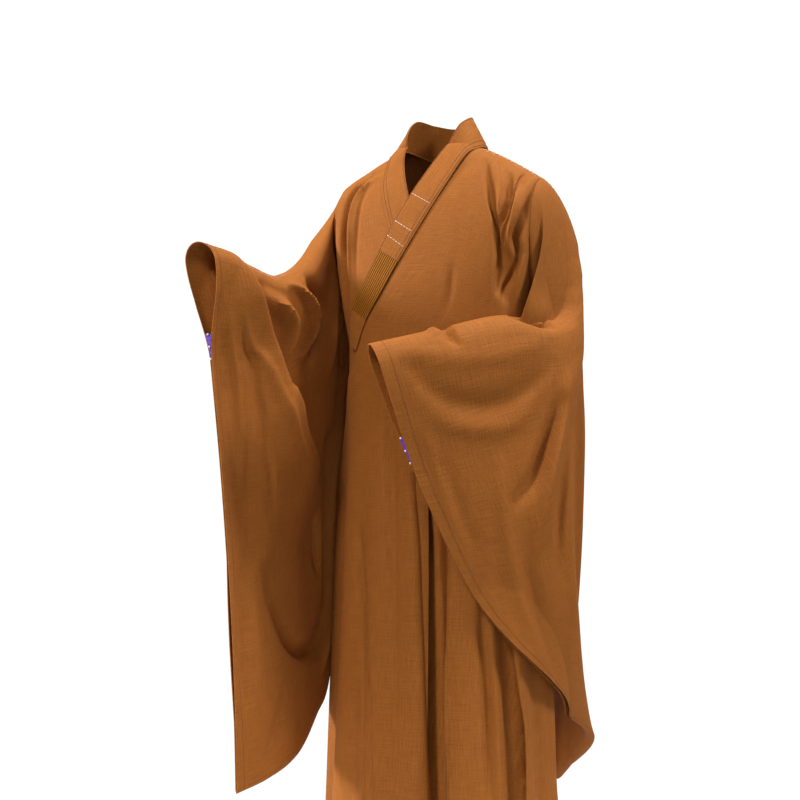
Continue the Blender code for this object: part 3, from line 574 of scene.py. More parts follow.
def hanging(table, folds, along, share, near, inset=0.0):
    """Points of a sleeve's two layers, from its table alone. share is 0 over the arm and 1 at
    the bottom fold, and near tells which layer a point is in. inset is how far the points are
    inside the cloth's outer face."""
    values = sheet_between(table, along, share)[1]
    top, middle, low = values[..., 0:3], values[..., 3:6], values[..., 6:9]
    fall = np.where(near, values[..., 13], values[..., 14])
    bag = values[..., 15] - inset
    length = np.linalg.norm(middle - top, axis=-1) + np.linalg.norm(low - middle, axis=-1)
    wrap = np.clip(share / ARM_ARC, 0, 1) * math.pi / 2
    hang = np.clip((share - ARM_ARC) / (1 - ARM_ARC), 0, 1)
    drop = np.where(share < ARM_ARC, fall * (1 - np.cos(wrap)), fall + (length - fall) * hang)
    down = (inset + drop * (1 - 3 * inset / length)) / length
    line = sheet_between(table, along, down)[0]
    turned = np.radians(bent(values[..., 16], values[..., 17], values[..., 18], down))
    side = np.stack([np.cos(turned), np.sin(turned), np.zeros(turned.shape)], axis=-1)
    at_arm = np.where(near[..., None], values[..., 9:11], values[..., 11:13])
    stand_off = np.maximum(np.linalg.norm(at_arm, axis=-1, keepdims=True), 1e-6)
    at_arm = at_arm * np.maximum(1 - inset / stand_off, 0)
    at_arm = np.concatenate([at_arm, np.zeros(at_arm.shape[:-1] + (1,))], axis=-1)
    in_bag = smooth_step((drop - fall) / MOUTH_CLOSES)[..., None]
    rounding = np.clip(BAG_ROUND_SHARE * bag, *BAG_ROUNDING)
    end = np.clip((drop - (length - rounding)) / rounding, 0, 1)
    half = np.where(near, bag, -bag) * np.sqrt(1 - end**2)
    stand = at_arm * np.sin(wrap)[..., None] * (1 - in_bag) + side * half[..., None] * in_bag
    common = curve_fold(folds, along, down) * smooth_step(along / FOLD_ARM_RUN) * (1 - end)
    points = line + stand + side * common[..., None]
    return clear_of_body(points, side, np.where(near, 1, -1), inset)


def sleeve(table, folds, stations, shares, inset=0.0):
    """Rings of the sleeve from the armhole to the cuff. Each ring starts over the arm, goes
    down the near layer at these shares, round the bottom fold and up the far layer. inset is
    how far the rings are inside the cloth's outer face."""
    sign = 1 if table is LEFT_SLEEVE else -1
    ring = np.concatenate([shares, shares[-2:0:-1]])
    share = np.broadcast_to(ring, (len(stations), len(ring)))
    near = np.broadcast_to(np.arange(len(ring)) < len(shares), share.shape)
    along = np.broadcast_to(stations[:, None], share.shape)
    points = hanging(table, folds, np.maximum(along, ARMHOLE_REACH), share, near, inset)
    meets = np.full(share.shape, ARMHOLE_REACH)
    run = hanging(table, folds, meets + SLEEVE_STEP, share, near, inset)
    run = run - hanging(table, folds, meets, share, near, inset)
    run = run / SLEEVE_STEP * ARMHOLE_REACH
    front = body_point(-1, np.full(share.shape, sign * 90.0), share)
    back = body_point(1, np.full(share.shape, sign * 90.0), share)
    loop = np.where((near == (sign < 0))[..., None], front, back)
    round_it = np.roll(loop, -1, axis=1) - np.roll(loop, 1, axis=1)
    inwards = np.stack([np.zeros(share.shape), -round_it[..., 2], round_it[..., 1]], axis=-1)
    inwards = unit(inwards)
    inwards *= np.sign((inwards * (loop.mean(axis=1, keepdims=True) - loop)).sum())
    loop = loop + inwards * inset + np.array([sign * SEAM_GAP, 0, 0])
    start = np.array(ARMHOLE_RUN) * [sign, sign, 1]
    t = np.clip(along / ARMHOLE_REACH, 0, 1)[..., None]
    return np.where(t < 1, hermite(t, loop, points, start, run), points)


def clear_of_body(points, side, layer, inset):
    """Moves a sleeve's points out to clear the body's plain outline, and keeps its two layers
    in order as it does. layer is 1 on the near one and -1 on the far one."""
    radial = unit(points[..., :2])
    facing = (radial * side[..., :2]).sum(-1) * layer
    gap = BODY_CLEAR + (LAYER_CLEAR - inset) * np.tanh(LAYER_TURN * facing)
    half, front, back = body_sizes(np.minimum(points[..., 2], -UNDERARM_DROP))
    depth = np.where(points[..., 1] < RIDGE_Y, front, back)
    across = points[..., 0]
    deep = points[..., 1] - RIDGE_Y
    reach = np.sqrt((across / (half + gap)) ** 2 + (deep / (depth + gap)) ** 2)
    push = np.maximum(1 / np.maximum(reach, 1e-6), 1.0)
    low = smooth_step((CLEAR_FROM_Z - points[..., 2]) / CLEAR_RUN)
    push = 1 + (push - 1) * low
    moved = points.copy()
    moved[..., 0] = across * push
    moved[..., 1] = RIDGE_Y + deep * push
    return moved


# A panel's seam edges, where its wall is square to the seam: rows, columns, and the axis that
# its normals leave out there
ALL = slice(None)
RIDGE = (slice(0, 1), ALL, 1)
LEFT_SEAM = (ALL, slice(-1, None), 1)
RIGHT_SEAM = (ALL, slice(0, 1), 1)

# Creases, each listed in millimetres: its half width on either side, its height,
# negative for a trough, and the points that it runs through. Run downwards and seen from
# outside, the first width is on its left.
MM = 0.001
FRONT_LEFT_CREASES = [
    # first width, second width, height, points
    (4, 7, -19, (105, -39, 9), (129, -72, -51), (149, -82, -117), (155, -87, -182), (153, -92, -258)),
    (6, 5, 11, (129, -38, -7), (147, -67, -67), (161, -84, -125), (162, -85, -171)),
    (4, 6, -17, (155, -37, -21), (162, -64, -58), (166, -83, -124), (162, -84, -191),
     (154, -91, -255)),
    (7, 4, 13, (176, -41, -46), (181, -67, -86), (175, -77, -137), (165, -79, -186)),
    (5, 10, -27, (198, -35, -66), (194, -65, -114), (185, -78, -162), (169, -75, -217),
     (159, -82, -267)),
    (8, 8, -4, (63, -128, -293), (71, -124, -243), (73, -118, -191)),
    (13, 3.5, -62, (10, -140, -571), (30, -137, -639), (38, -131, -711), (43, -128, -850),
     (48, -128, -996), (53, -130, -1169), (56, -134, -1305)),
    (12, 3.5, -42, (161, -71, -887), (173, -73, -976), (185, -74, -1068), (187, -72, -1176),
     (193, -69, -1306)),
    (8, 10, 9, (64, -116, -704), (75, -134, -847), (75, -137, -993), (87, -155, -1169),
     (90, -162, -1295)),
    (10, 10, -16, (-119, -120, -670), (-111, -123, -782), (-103, -130, -894), (-92, -146, -1040),
     (-83, -156, -1186), (-75, -163, -1312)),
    (12, 12, -7, (-58, -130, -353), (-43, -138, -537), (-34, -147, -812), (-20, -167, -1268)),
    (14, 14, 6, (-3, -136, -445), (3, -143, -629), (11, -150, -904), (19, -166, -1285)),
    (12, 12, -20, (135, -118, -772), (140, -120, -880), (148, -121, -989), (155, -125, -1135),
     (161, -130, -1278)),
]
FRONT_RIGHT_CREASES = [
    # first width, second width, height, points
    (4, 6, -12, (-89, -53, -8), (-140, -41, -20), (-162, -59, -58), (-164, -81, -136),
     (-159, -87, -207), (-158, -82, -292)),
    (5, 4, 9, (-105, -55, -18), (-143, -61, -47), (-152, -73, -87), (-151, -91, -151),
     (-145, -96, -257)),
    (5, 5, -6, (-121, -57, -28), (-137, -76, -74), (-137, -94, -143), (-131, -103, -236)),
]
BACK_CREASES = [
    # first width, second width, height, points
    (14, 14, -10, (-134, 72, -21), (-123, 127, -179), (-104, 135, -340), (-105, 144, -697)),
    (12, 12, 9, (-93, 82, -13), (-84, 138, -225), (-77, 136, -544)),
    (12, 12, -11, (129, 79, -30), (118, 130, -204), (103, 131, -391), (102, 146, -748)),
    (10, 10, -7, (21, 128, -121), (27, 149, -293), (25, 149, -646)),
    (8, 8, -11, (-179, 71, -34), (-164, 122, -146), (-145, 115, -313)),
    (8, 8, -11, (177, 71, -32), (162, 122, -145), (143, 117, -287)),
    (9, 9, 9, (-188, 102, -71), (-171, 113, -240), (-161, 90, -442)),
    (9, 9, 9, (189, 93, -59), (174, 117, -216), (160, 90, -442)),
    (12, 8, -12, (-48, 135, -442), (-58, 142, -850), (-70, 170, -1309)),
    (9, 12, -12, (68, 132, -493), (81, 149, -850), (99, 175, -1309)),
    (9, 7, -10, (-137, 111, -544), (-149, 120, -952), (-163, 134, -1309)),
    (7, 9, -10, (149, 102, -544), (164, 113, -952), (180, 125, -1309)),
    (20, 20, 10, (208, 24, -915), (211, 19, -1006), (214, 15, -1098), (217, 15, -1193),
     (172, 129, -1336)),
]
RIGHT_SLEEVE_CREASES = [
    # first width, second width, height, points
    (3, 22, -44, (-252, -302, -237), (-250, -275, -289), (-252, -241, -345), (-250, -207, -403),
     (-244, -172, -469), (-239, -129, -536), (-233, -88, -610)),
    (14, 3, 10, (-259, -317, -241), (-257, -289, -295), (-258, -259, -348), (-253, -229, -407),
     (-247, -193, -472), (-242, -151, -539), (-236, -108, -613)),
    (16, 5, 27, (-240, -271, -243), (-231, -241, -257), (-224, -215, -269), (-224, -193, -291),
     (-234, -183, -329), (-244, -187, -368), (-249, -200, -407)),
    (6, 4, 24, (-224, -210, -230), (-214, -186, -236), (-211, -154, -251), (-216, -130, -276),
     (-225, -121, -312), (-233, -131, -347), (-239, -144, -373)),
    (4, 15, -24, (-219, -153, -204), (-207, -139, -237), (-217, -103, -274), (-227, -82, -315),
     (-230, -95, -349), (-234, -112, -371)),
    (16, 9, 16, (-205, -62, -147), (-216, -45, -231), (-224, -45, -327), (-226, -55, -402)),
    (5, 15, -30, (-193, -36, -190), (-203, -26, -251), (-211, -18, -348), (-218, -23, -445),
     (-222, -32, -542), (-224, -40, -637), (-225, -41, -755), (-225, -38, -911)),
    (7, 12, -30, (-224, -44, -494), (-226, -50, -563), (-226, -50, -619), (-225, -43, -688)),
    (10, 10, -9, (-256, -309, -248), (-264, -283, -337), (-260, -264, -446), (-253, -247, -558),
     (-247, -234, -667)),
    (10, 9, 8, (-268, -330, -267), (-276, -310, -353), (-269, -305, -484), (-261, -304, -629)),
    (10, 10, -10, (-250, -254, -318), (-249, -207, -424), (-246, -193, -518), (-242, -183, -632)),
    (14, 24, -24, (-248, -255, -740), (-241, -232, -824), (-233, -182, -894), (-230, -125, -930),
     (-228, -69, -917), (-225, -37, -869), (-221, -21, -815)),
    (9, 9, -14, (-231, -77, -665), (-230, -72, -724), (-229, -66, -782)),
    (9, 7, 12, (-218, -10, -719), (-222, -11, -816), (-224, -32, -892), (-227, -63, -985)),
    (18, 16, 8, (-253, -287, -736), (-245, -281, -883), (-239, -273, -1032)),
    (12, 14, -7, (-258, -323, -736), (-251, -326, -878), (-244, -320, -1021)),
    (16, 16, -7, (-232, -199, -983), (-233, -228, -1056), (-236, -274, -1112)),
    (14, 22, -14, (-270, -68, -193), (-261, -130, -394), (-273, -206, -452), (-313, -308, -282)),
    (14, 24, -13, (-250, -43, -273), (-259, -101, -572), (-267, -200, -644), (-288, -318, -421)),
    (18, 18, 10, (-271, -118, -274), (-259, -101, -572), (-253, -83, -933)),
    (12, 12, -12, (-261, -17, -133), (-246, -28, -335), (-246, -22, -765)),
    (14, 14, -9, (-311, -258, -240), (-273, -241, -569), (-252, -220, -1006)),
]
LEFT_SLEEVE_CREASES = [
    # first width, second width, height, points
    (12, 26, -12, (49, -276, -368), (78, -251, -416), (107, -219, -447), (137, -186, -459),
     (168, -151, -457), (196, -118, -445), (229, -74, -408), (248, -41, -368)),
    (16, 14, 7, (75, -246, -461), (108, -210, -489), (149, -167, -497), (189, -121, -490),
     (221, -81, -460)),
    (16, 20, 5, (41, -277, -357), (85, -243, -369), (127, -202, -373), (179, -143, -365),
     (215, -92, -349), (240, -41, -323)),
    (9, 9, -15, (76, -171, -319), (85, -182, -314), (98, -193, -317), (110, -205, -334),
     (124, -201, -351)),
    (9, 7, 6, (61, -196, -322), (75, -206, -320), (91, -214, -328)),
    (12, 14, -22, (254, -25, -430), (242, -48, -491), (232, -68, -547), (219, -87, -592),
     (191, -119, -642)),
    (14, 12, 15, (260, -14, -389), (250, -31, -483), (242, -55, -572), (229, -71, -664),
     (211, -79, -763)),
    (11, 10, -12, (261, -3, -464), (256, -24, -556), (251, -36, -666), (246, -23, -797)),
    (5, 9, -18, (171, -90, -290), (205, -66, -300), (241, -23, -312)),
    (8, 6, 9, (192, -69, -282), (208, -55, -283), (233, -2, -297)),
    (14, 14, 8, (174, -137, -535), (180, -128, -661), (196, -90, -811), (228, -46, -940)),
    (14, 16, -10, (215, -90, -662), (211, -81, -754), (227, -42, -870), (242, 0, -983)),
    (12, 14, -6, (91, -214, -546), (111, -192, -626), (142, -150, -735)),
    (12, 12, 5, (68, -249, -479), (86, -202, -587), (114, -167, -699)),
    (12, 14, -13, (261, 68, -210), (260, 70, -458), (199, 168, -911)),
    (14, 14, 10, (269, 48, -317), (259, 67, -636), (193, 183, -1050)),
    (10, 12, -11, (250, 72, -153), (248, 83, -378), (212, 153, -751)),
]

# How a crease is laid on the cloth: the points of its line, every how many of them its normals
# are looked up, the widths beyond its line that it still moves, the least half width of a deep
# one, the fewest points worth moving, and how it fades past its ends, off its wall and along
# its line. The last four tell the near wall from the far one, which moves more softly.
CREASE_STEPS = 73
NORMAL_STEP = 6
CREASE_REACH = 2.6
LEAST_WIDE = 0.0075
FEWEST_POINTS = 12
END_FADE = 0.02
TAPER = 0.8
PANEL_REACH, PANEL_FADE = 0.01, 0.035
SLEEVE_REACH, SLEEVE_FADE = 0.06, 0.055
OTHER_WALL = 0.02
SAME_FACING = 0.2
WALL_TURNS = (0.05, 0.4)
FAR_WALL_SOFTER = 0.022


def normals_along(line, points, facing):
    """The cloth's normals along a line, from one wall of it only."""
    own = []
    for point in line[::NORMAL_STEP]:
        distance = ((points - point) ** 2).sum(-1)
        if own:
            distance = distance + OTHER_WALL * (facing @ own[-1] < SAME_FACING)
        own.append(facing[distance.argmin()])
    steps = np.arange(len(line)) / NORMAL_STEP
    return unit(read_off(steps, np.arange(len(own)), np.array(own)))


def creased(points, normals, rows, both_walls=False):
    """How the creases that run close by move the points. Each moves them the way that the cloth
    faces at its line; on a sleeve it takes the wall behind along, as the two lie together."""
    moved = np.zeros((points.shape[0] * points.shape[1], 3))
    flat = points.reshape(-1, 3)
    facing = normals.reshape(-1, 3)
    past_wall, off_wall = (SLEEVE_REACH, SLEEVE_FADE) if both_walls else (PANEL_REACH, PANEL_FADE)
    for row in rows:
        first_wide, second_wide, height = np.array(row[:3]) * MM
        marks = np.array(row[3:]) * MM
        line = through(np.arange(len(marks)), marks, np.linspace(0, len(marks) - 1, CREASE_STEPS))
        least = min(LEAST_WIDE, abs(height) / 2)
        first_wide, second_wide = max(first_wide, least), max(second_wide, least)
        reach = CREASE_REACH * max(first_wide, second_wide) + past_wall
        low = line.min(axis=0) - reach
        high = line.max(axis=0) + reach
        close = np.where(((flat > low) & (flat < high)).all(axis=1))[0]
        if len(close) < FEWEST_POINTS:
            continue
        own = normals_along(line, flat[close], facing[close])
        run = np.gradient(line, axis=0)
        length = np.linalg.norm(run, axis=1).sum()
        run = unit(run)
        nearest = ((flat[close, None, :] - line[None, :, :]) ** 2).sum(-1).argmin(axis=1)
        gap = flat[close] - line[nearest]
        normal, along = own[nearest], run[nearest]
        step = (gap * along).sum(-1)
        place = nearest / (len(line) - 1) + step / length
        inside = (nearest > 0) & (nearest < len(line) - 1)
        beyond = np.where(inside, 0.0, np.abs(step))
        off = np.abs((gap * normal).sum(-1))
        across = unit(np.cross(along, normal))
        beside = (gap * across).sum(-1)
        alike = (facing[close] * normal).sum(-1)
        near_wall = smooth_step((alike - WALL_TURNS[0]) / WALL_TURNS[1])
        taper = np.sin(math.pi * np.clip(place, 0, 1)) ** TAPER
        fade = np.exp(-((beyond / END_FADE) ** 2)) * np.exp(-((off / off_wall) ** 2))
        near_share = near_wall * hump(beside, second_wide, first_wide)
        soft_wide = FAR_WALL_SOFTER + max(first_wide, second_wide)
        far_share = (1 - near_wall) * hump(beside, soft_wide, soft_wide) if both_walls else 0.0
        share = taper * fade * (near_share + far_share)
        moved[close] += height * share[:, None] * normal
    return moved.reshape(points.shape)


def lengths_between(points, axis):
    """Distance run along an axis of the grid, averaged over the other one."""
    steps = np.linalg.norm(np.diff(points, axis=axis), axis=-1).mean(axis=1 - axis)
    return np.concatenate([[0.0], np.cumsum(steps)])


SHARP_DEG = 50.0


def shell(name, outer, inner, material, closed=False):
    """A thin wall between two grids of points. Its map is the cloth's own, in metres: across
    the columns, then down the rows."""
    rows, columns = outer.shape[:2]
    points = np.concatenate([outer.reshape(-1, 3), inner.reshape(-1, 3)])
    lift = rows * columns
    index = np.arange(lift).reshape(rows, columns)
    if closed:
        index = np.concatenate([index, index[:, :1]], axis=1)
    corners = (index[:-1, :-1], index[1:, :-1], index[1:, 1:], index[:-1, 1:])
    front = np.stack(corners, axis=-1).reshape(-1, 4)
    rear = front[:, ::-1] + lift
    edges = [index[0], index[-1][::-1]]
    if not closed:
        edges += [index[:, 0][::-1], index[:, -1]]
    rims = [np.stack([e[:-1], e[1:], e[1:] + lift, e[:-1] + lift], axis=-1) for e in edges]
    faces = np.concatenate([front, rear] + rims)
    mesh = bpy.data.meshes.new(name)
    mesh.vertices.add(len(points))
    mesh.vertices.foreach_set("co", points.astype(np.float32).ravel())
    mesh.loops.add(faces.size)
    mesh.loops.foreach_set("vertex_index", faces.astype(np.int32).ravel())
    mesh.polygons.add(len(faces))
    mesh.polygons.foreach_set("loop_start", np.arange(0, faces.size, 4, dtype=np.int32))
    mesh.update(calc_edges=True)
    around = lengths_between(outer, 1)
    down = lengths_between(outer, 0)
    whole = np.stack(np.broadcast_arrays(around[None, :], down[:, None]), axis=-1).reshape(-1, 2)
    whole = np.concatenate([whole, whole])
    layer = mesh.uv_layers.new(name="cloth")
    layer.data.foreach_set("uv", whole[faces.ravel()].astype(np.float32).ravel())
    mesh.polygons.foreach_set("use_smooth", np.ones(len(faces), dtype=bool))
    mesh.set_sharp_from_angle(angle=math.radians(SHARP_DEG))
    mesh.materials.append(material)
    return linked(name, mesh)


def feed(tree, node, values):
    """Sets each of these inputs to its value, or links it to the output that is given for it."""
    for name, value in values.items():
        if isinstance(value, (tuple, float)):
            node.inputs[name].default_value = value
        else:
            tree.links.new(value, node.inputs[name])


def added(tree, kind, values):
    node = tree.nodes.new("ShaderNode" + kind)
    feed(tree, node, values)
    return node


def new_material(name):
    material = bpy.data.materials.new(name)
    material.use_nodes = True
    return material, material.node_tree


def mixed(tree, first, second, factor):
    mix = tree.nodes.new("ShaderNodeMix")
    mix.data_type = "RGBA"
    feed(tree, mix, {6: first, 7: second, 0: factor})
    return mix.outputs[2]


def noise(tree, values):
    return added(tree, "TexNoise", values).outputs["Fac"]


def stretched_noise(tree, place, across, down, detail):
    mapping = added(tree, "Mapping", {"Scale": (across, down, 1.0), "Vector": place})
    values = {"Scale": 1.0, "Detail": detail, "Vector": mapping.outputs["Vector"]}
    return noise(tree, values)


def math_node(tree, operation, first, second):
    node = tree.nodes.new("ShaderNodeMath")
    node.operation = operation
    feed(tree, node, {0: first, 1: second})
    return node.outputs["Value"]


def bumped(tree, height, distance):
    bump = added(tree, "Bump", {"Strength": 0.5, "Distance": distance, "Height": height})
    return bump.outputs["Normal"]


def cloth_map(tree):
    """A piece's own cloth, in metres."""
    place = tree.nodes.new("ShaderNodeUVMap")
    place.uv_map = "cloth"
    return place.outputs["UV"]


# Colours of the cloth, of its darker threads and of its paler ones, then of the stitches, the
# gaps between them, the seam thread and the tacks; each tack colour's darker copy is painted
# shade for the turns of its thread
CLOTH = (0.300, 0.095, 0.0150, 1.0)
CLOTH_DARK = (0.205, 0.058, 0.0085, 1.0)
CLOTH_PALE = (0.390, 0.140, 0.025, 1.0)
STITCH_OCHRE = (0.39, 0.138, 0.0040, 1.0)
STITCH_GAP_BROWN = (0.085, 0.026, 0.003, 1.0)
SEAM_BROWN = (0.095, 0.030, 0.006, 1.0)
TACK_PURPLE = (0.100, 0.022, 0.42, 1.0)
TACK_PURPLE_PAINTED_SHADE = (0.05, 0.010, 0.24, 1.0)
TACK_WHITE = (0.86, 0.80, 0.66, 1.0)
TACK_WHITE_PAINTED_SHADE = (0.62, 0.58, 0.50, 1.0)
SHEEN_TINT = (1.0, 0.72, 0.45, 1.0)

# The weave: threads and slubs a metre, the sum of its noises from darkest to palest, how much
# the plain colour evens the threads out, the blotches of dye a metre and their strength, and
# the heights of the weave and of wound thread
THREADS_PER_M = 640.0
SLUBS_PER_M = 26.0
CROSS_PER_M = THREADS_PER_M * 0.8
THREADS_DARKEST = 1.12
THREADS_PALEST = 1.88
EVENNESS = 0.42
DYE_PER_M = 4.5
DYE_SHARE = 0.22
WEAVE_HEIGHT = 0.0006
WOUND_HEIGHT = 0.0003
WOUND_PER_M = (900.0, 2400.0)
CLOTH_SPECULAR = 0.12

# The stitched cloth: its row of stitches, their slant and their number a metre, and how fully
# they cover it
STITCH_ROW = 0.00471
STITCH_SLANT_DEG = 38.0
STITCHES_PER_M = (260.0, 1300.0, 1.0)
STITCH_COVER = 2.1


def cloth_material(name):
    """Plain weave with slubs along both threads, uneven dye and a soft dull sheen."""
    material, tree = new_material(name)
    flat = cloth_map(tree)
    weft = stretched_noise(tree, flat, SLUBS_PER_M, THREADS_PER_M, 1.0)
    warp = stretched_noise(tree, flat, THREADS_PER_M, SLUBS_PER_M, 1.0)
    cross = stretched_noise(tree, flat, CROSS_PER_M, CROSS_PER_M, 1.0)
    threads = math_node(tree, "ADD", math_node(tree, "ADD", weft, warp), cross)
    ends = {"From Min": THREADS_DARKEST, "From Max": THREADS_PALEST, "Value": threads}
    spread = added(tree, "MapRange", ends).outputs["Result"]
    dyed = noise(tree, {"Scale": DYE_PER_M, "Detail": 3.0, "Vector": flat})
    dye = math_node(tree, "MULTIPLY", dyed, DYE_SHARE)
    colour = mixed(tree, CLOTH_DARK, CLOTH_PALE, spread)
    colour = mixed(tree, colour, CLOTH, EVENNESS)
    looks = {
        "Base Color": mixed(tree, colour, CLOTH_DARK, dye),
        "Normal": bumped(tree, threads, WEAVE_HEIGHT),
        "Roughness": 0.72,
        "Specular IOR Level": CLOTH_SPECULAR,
        "Sheen Weight": 0.04,
        "Sheen Roughness": 0.45,
        "Sheen Tint": SHEEN_TINT,
    }
    feed(tree, tree.nodes["Principled BSDF"], looks)
    return material


def thread_material(name, colour, shade):
    """Wound thread: its colour mixed with a darker copy along fine turns, as painted light and shade,
    and the same turns bumped.
    """
    material, tree = new_material(name)
    place = tree.nodes.new("ShaderNodeTexCoord")
    turns = stretched_noise(tree, place.outputs["Object"], *WOUND_PER_M, 2.0)
    looks = {
        # Painted shade: the colour darkens towards its shade copy along the noise of the turns
        "Base Color": mixed(tree, colour, shade, turns),
        "Normal": bumped(tree, turns, WOUND_HEIGHT),
        "Roughness": 0.5,
    }
    feed(tree, tree.nodes["Principled BSDF"], looks)
    return material


def quilt_material(name):
    """Cloth almost covered by lengthwise rows of ochre stitches."""
    material, tree = new_material(name)
    flat = cloth_map(tree)
    rows = tree.nodes.new("ShaderNodeTexWave")
    rows.wave_type = "BANDS"
    rows.bands_direction = "X"
    waves = {"Scale": 1 / STITCH_ROW / math.tau * 2, "Distortion": 0.0, "Vector": flat}
    feed(tree, rows, waves)
    turned = (0.0, 0.0, math.radians(STITCH_SLANT_DEG))
    slant = added(tree, "Mapping", {"Rotation": turned, "Scale": STITCHES_PER_M, "Vector": flat})
    stitches = noise(tree, {"Scale": 1.0, "Vector": slant.outputs["Vector"]})
    covered = math_node(tree, "MULTIPLY", rows.outputs["Fac"], stitches)
    covered = math_node(tree, "MULTIPLY", covered, STITCH_COVER)
    looks = {
        "Base Color": mixed(tree, STITCH_GAP_BROWN, STITCH_OCHRE, covered),
        "Normal": bumped(tree, covered, WEAVE_HEIGHT),
        "Roughness": 0.65,
        "Specular IOR Level": CLOTH_SPECULAR,
        "Sheen Weight": 0.03,
    }
    feed(tree, tree.nodes["Principled BSDF"], looks)
    return material


# Rows, shares and stations of the fine cloth, closer together where it turns
FINE_ROWS = spaced_rows(70, 150)
WIDE_COLUMNS = 200
NARROW_COLUMNS = 130
BAG_SHARE = 0.88
ARM_SHARES = np.linspace(0, ARM_ARC, 26)
HANGING_SHARES = np.linspace(ARM_ARC, BAG_SHARE, 80)[1:]
BAG_SHARES = np.linspace(BAG_SHARE, 1, 28)[1:]
FINE_SHARES = np.concatenate([ARM_SHARES, HANGING_SHARES, BAG_SHARES])
ARMHOLE_STATIONS = np.linspace(0, ARMHOLE_REACH, 38)
FINE_STATIONS = np.concatenate([ARMHOLE_STATIONS, np.linspace(ARMHOLE_REACH, 1, 128)[1:]])

# Stitches: their lengths and the gap after one, the threads' half widths, how far a row is from
# the cuff's edge, and the shares of one stitch with its thickness there
STITCH_LONG = 0.0026
WHITE_LONG = 0.0066
STITCH_GAP = 0.0009
BROWN_HALF_WIDE = 0.00045
WHITE_HALF_WIDE = 0.00070
HEM_TURN = 0.020
STITCH_SHARES = np.array([0.0, 0.5, 1.0])
STITCH_THICK = np.array([0.75, 1.0, 0.75])
STITCH_SIDES = 4
STITCH_PROUD = 0.4
SEAM_FADE = 0.025
extras = []


def sewn(name, line, normals, material, wide=BROWN_HALF_WIDE, long=STITCH_LONG):
    """A row of short stitches along a line, each a flat bead that stands a little proud."""
    run = np.concatenate([[0.0], np.cumsum(np.linalg.norm(np.diff(line, axis=0), axis=1))])
    starts = np.arange(STITCH_GAP, run[-1] - long, long + STITCH_GAP)
    marks = starts[:, None] + STITCH_SHARES[None, :] * long
    middle = read_off(marks, run, line)
    up = unit(read_off(marks, run, normals))
    aside = unit(np.cross(np.gradient(middle, axis=1), up))
    turns = np.arange(STITCH_SIDES) / STITCH_SIDES * math.tau
    ring = np.cos(turns)[:, None] * aside[..., None, :] + np.sin(turns)[:, None] * up[..., None, :]
    middle = middle + up * wide * STITCH_PROUD
    points = middle[..., None, :] + ring * STITCH_THICK[:, None, None] * wide
    index = np.arange(points.size // 3).reshape(points.shape[:3])
    turned = np.roll(index, -1, axis=2)
    sides = np.stack([index[:, :-1], turned[:, :-1], turned[:, 1:], index[:, 1:]], axis=-1)
    ends = np.concatenate([index[:, 0, ::-1], index[:, -1]])
    mesh = bpy.data.meshes.new(name)
    faces = sides.reshape(-1, 4).tolist() + ends.tolist()
    mesh.from_pydata(points.reshape(-1, 3).tolist(), [], faces)
    mesh.materials.append(material)
    mesh.polygons.foreach_set("use_smooth", np.ones(len(faces), dtype=bool))
    extras.append(linked(name, mesh))


def panel(name, base, inward, material, creases, edges):
    """A body panel: its creased outer face, and an inner face a wall's thickness behind it."""
    normals = -grid_normals(base) * inward
    across = np.linspace(0, 1, base.shape[1])[None, :, None]
    near_seam = smooth_step(across / SEAM_FADE) * smooth_step((1 - across) / SEAM_FADE)
    outer = base + near_seam * creased(base, normals, creases)
    inner_normals = -grid_normals(outer) * inward
    for rows, columns, axis in edges:
        inner_normals[rows, columns, axis] = 0.0
    inner = outer - unit(inner_normals) * WALL
    if inward < 0:
        outer, inner = outer[:, ::-1], inner[:, ::-1]
    return shell(name, outer, inner, material)


def sleeve_piece(name, table, folds, creases, material):
    """A sleeve's two faces with the same creases, and the row of stitches along its cuff."""
    outer = sleeve(table, folds, FINE_STATIONS, FINE_SHARES)
    inner = sleeve(table, folds, FINE_STATIONS, FINE_SHARES, inset=WALL)
    normals = -grid_normals(outer, closed=True)
    near_armhole = smooth_step(FINE_STATIONS / SEAM_FADE)[:, None, None]
    moved = near_armhole * creased(outer, normals, creases, both_walls=True)
    outer = outer + moved
    inner = inner + moved
    row = -1 - int(np.searchsorted(1 - FINE_STATIONS[::-1], HEM_TURN / SLEEVE_RUN))
    sewn(name + "_hem_stitches", outer[row], normals[row], brown_thread)
    return shell(name, outer, inner, material, closed=True)


cloth_plain = cloth_material("robe_cloth_woven")
cloth_ochre = quilt_material("stitched_cloth_ochre")
# Each thread mixes in a darker copy along its turns as painted shade; the brown one takes the cloth's
# dark thread colour for it
purple = thread_material("tack_thread_purple", TACK_PURPLE, TACK_PURPLE_PAINTED_SHADE)
white = thread_material("white_thread", TACK_WHITE, TACK_WHITE_PAINTED_SHADE)
brown_thread = thread_material("brown_thread", SEAM_BROWN, CLOTH_DARK)

made = {}
PANELS = [
    # node, its plain cloth, 1 in front and -1 behind, its creases, its seam edges
    ("front_left", over_panel(FINE_ROWS, WIDE_COLUMNS), 1, FRONT_LEFT_CREASES,
     (RIDGE, LEFT_SEAM)),
    ("front_right", under_panel(FINE_ROWS, NARROW_COLUMNS), 1, FRONT_RIGHT_CREASES,
     (RIDGE, RIGHT_SEAM)),
    ("back", back_panel(FINE_ROWS, WIDE_COLUMNS), -1, BACK_CREASES,
     (RIDGE, LEFT_SEAM, RIGHT_SEAM)),
]
for node, base, inward, creases, edges in PANELS:
    made[node] = panel(node + "_cloth", base, inward, cloth_plain, creases, edges)
SLEEVES = [
    ("sleeve_right", RIGHT_SLEEVE, RIGHT_SLEEVE_FOLDS, RIGHT_SLEEVE_CREASES),
    ("sleeve_left", LEFT_SLEEVE, LEFT_SLEEVE_FOLDS, LEFT_SLEEVE_CREASES),
]
for node, table, folds, creases in SLEEVES:
    made[node] = sleeve_piece(node + "_cloth", table, folds, creases, cloth_plain)

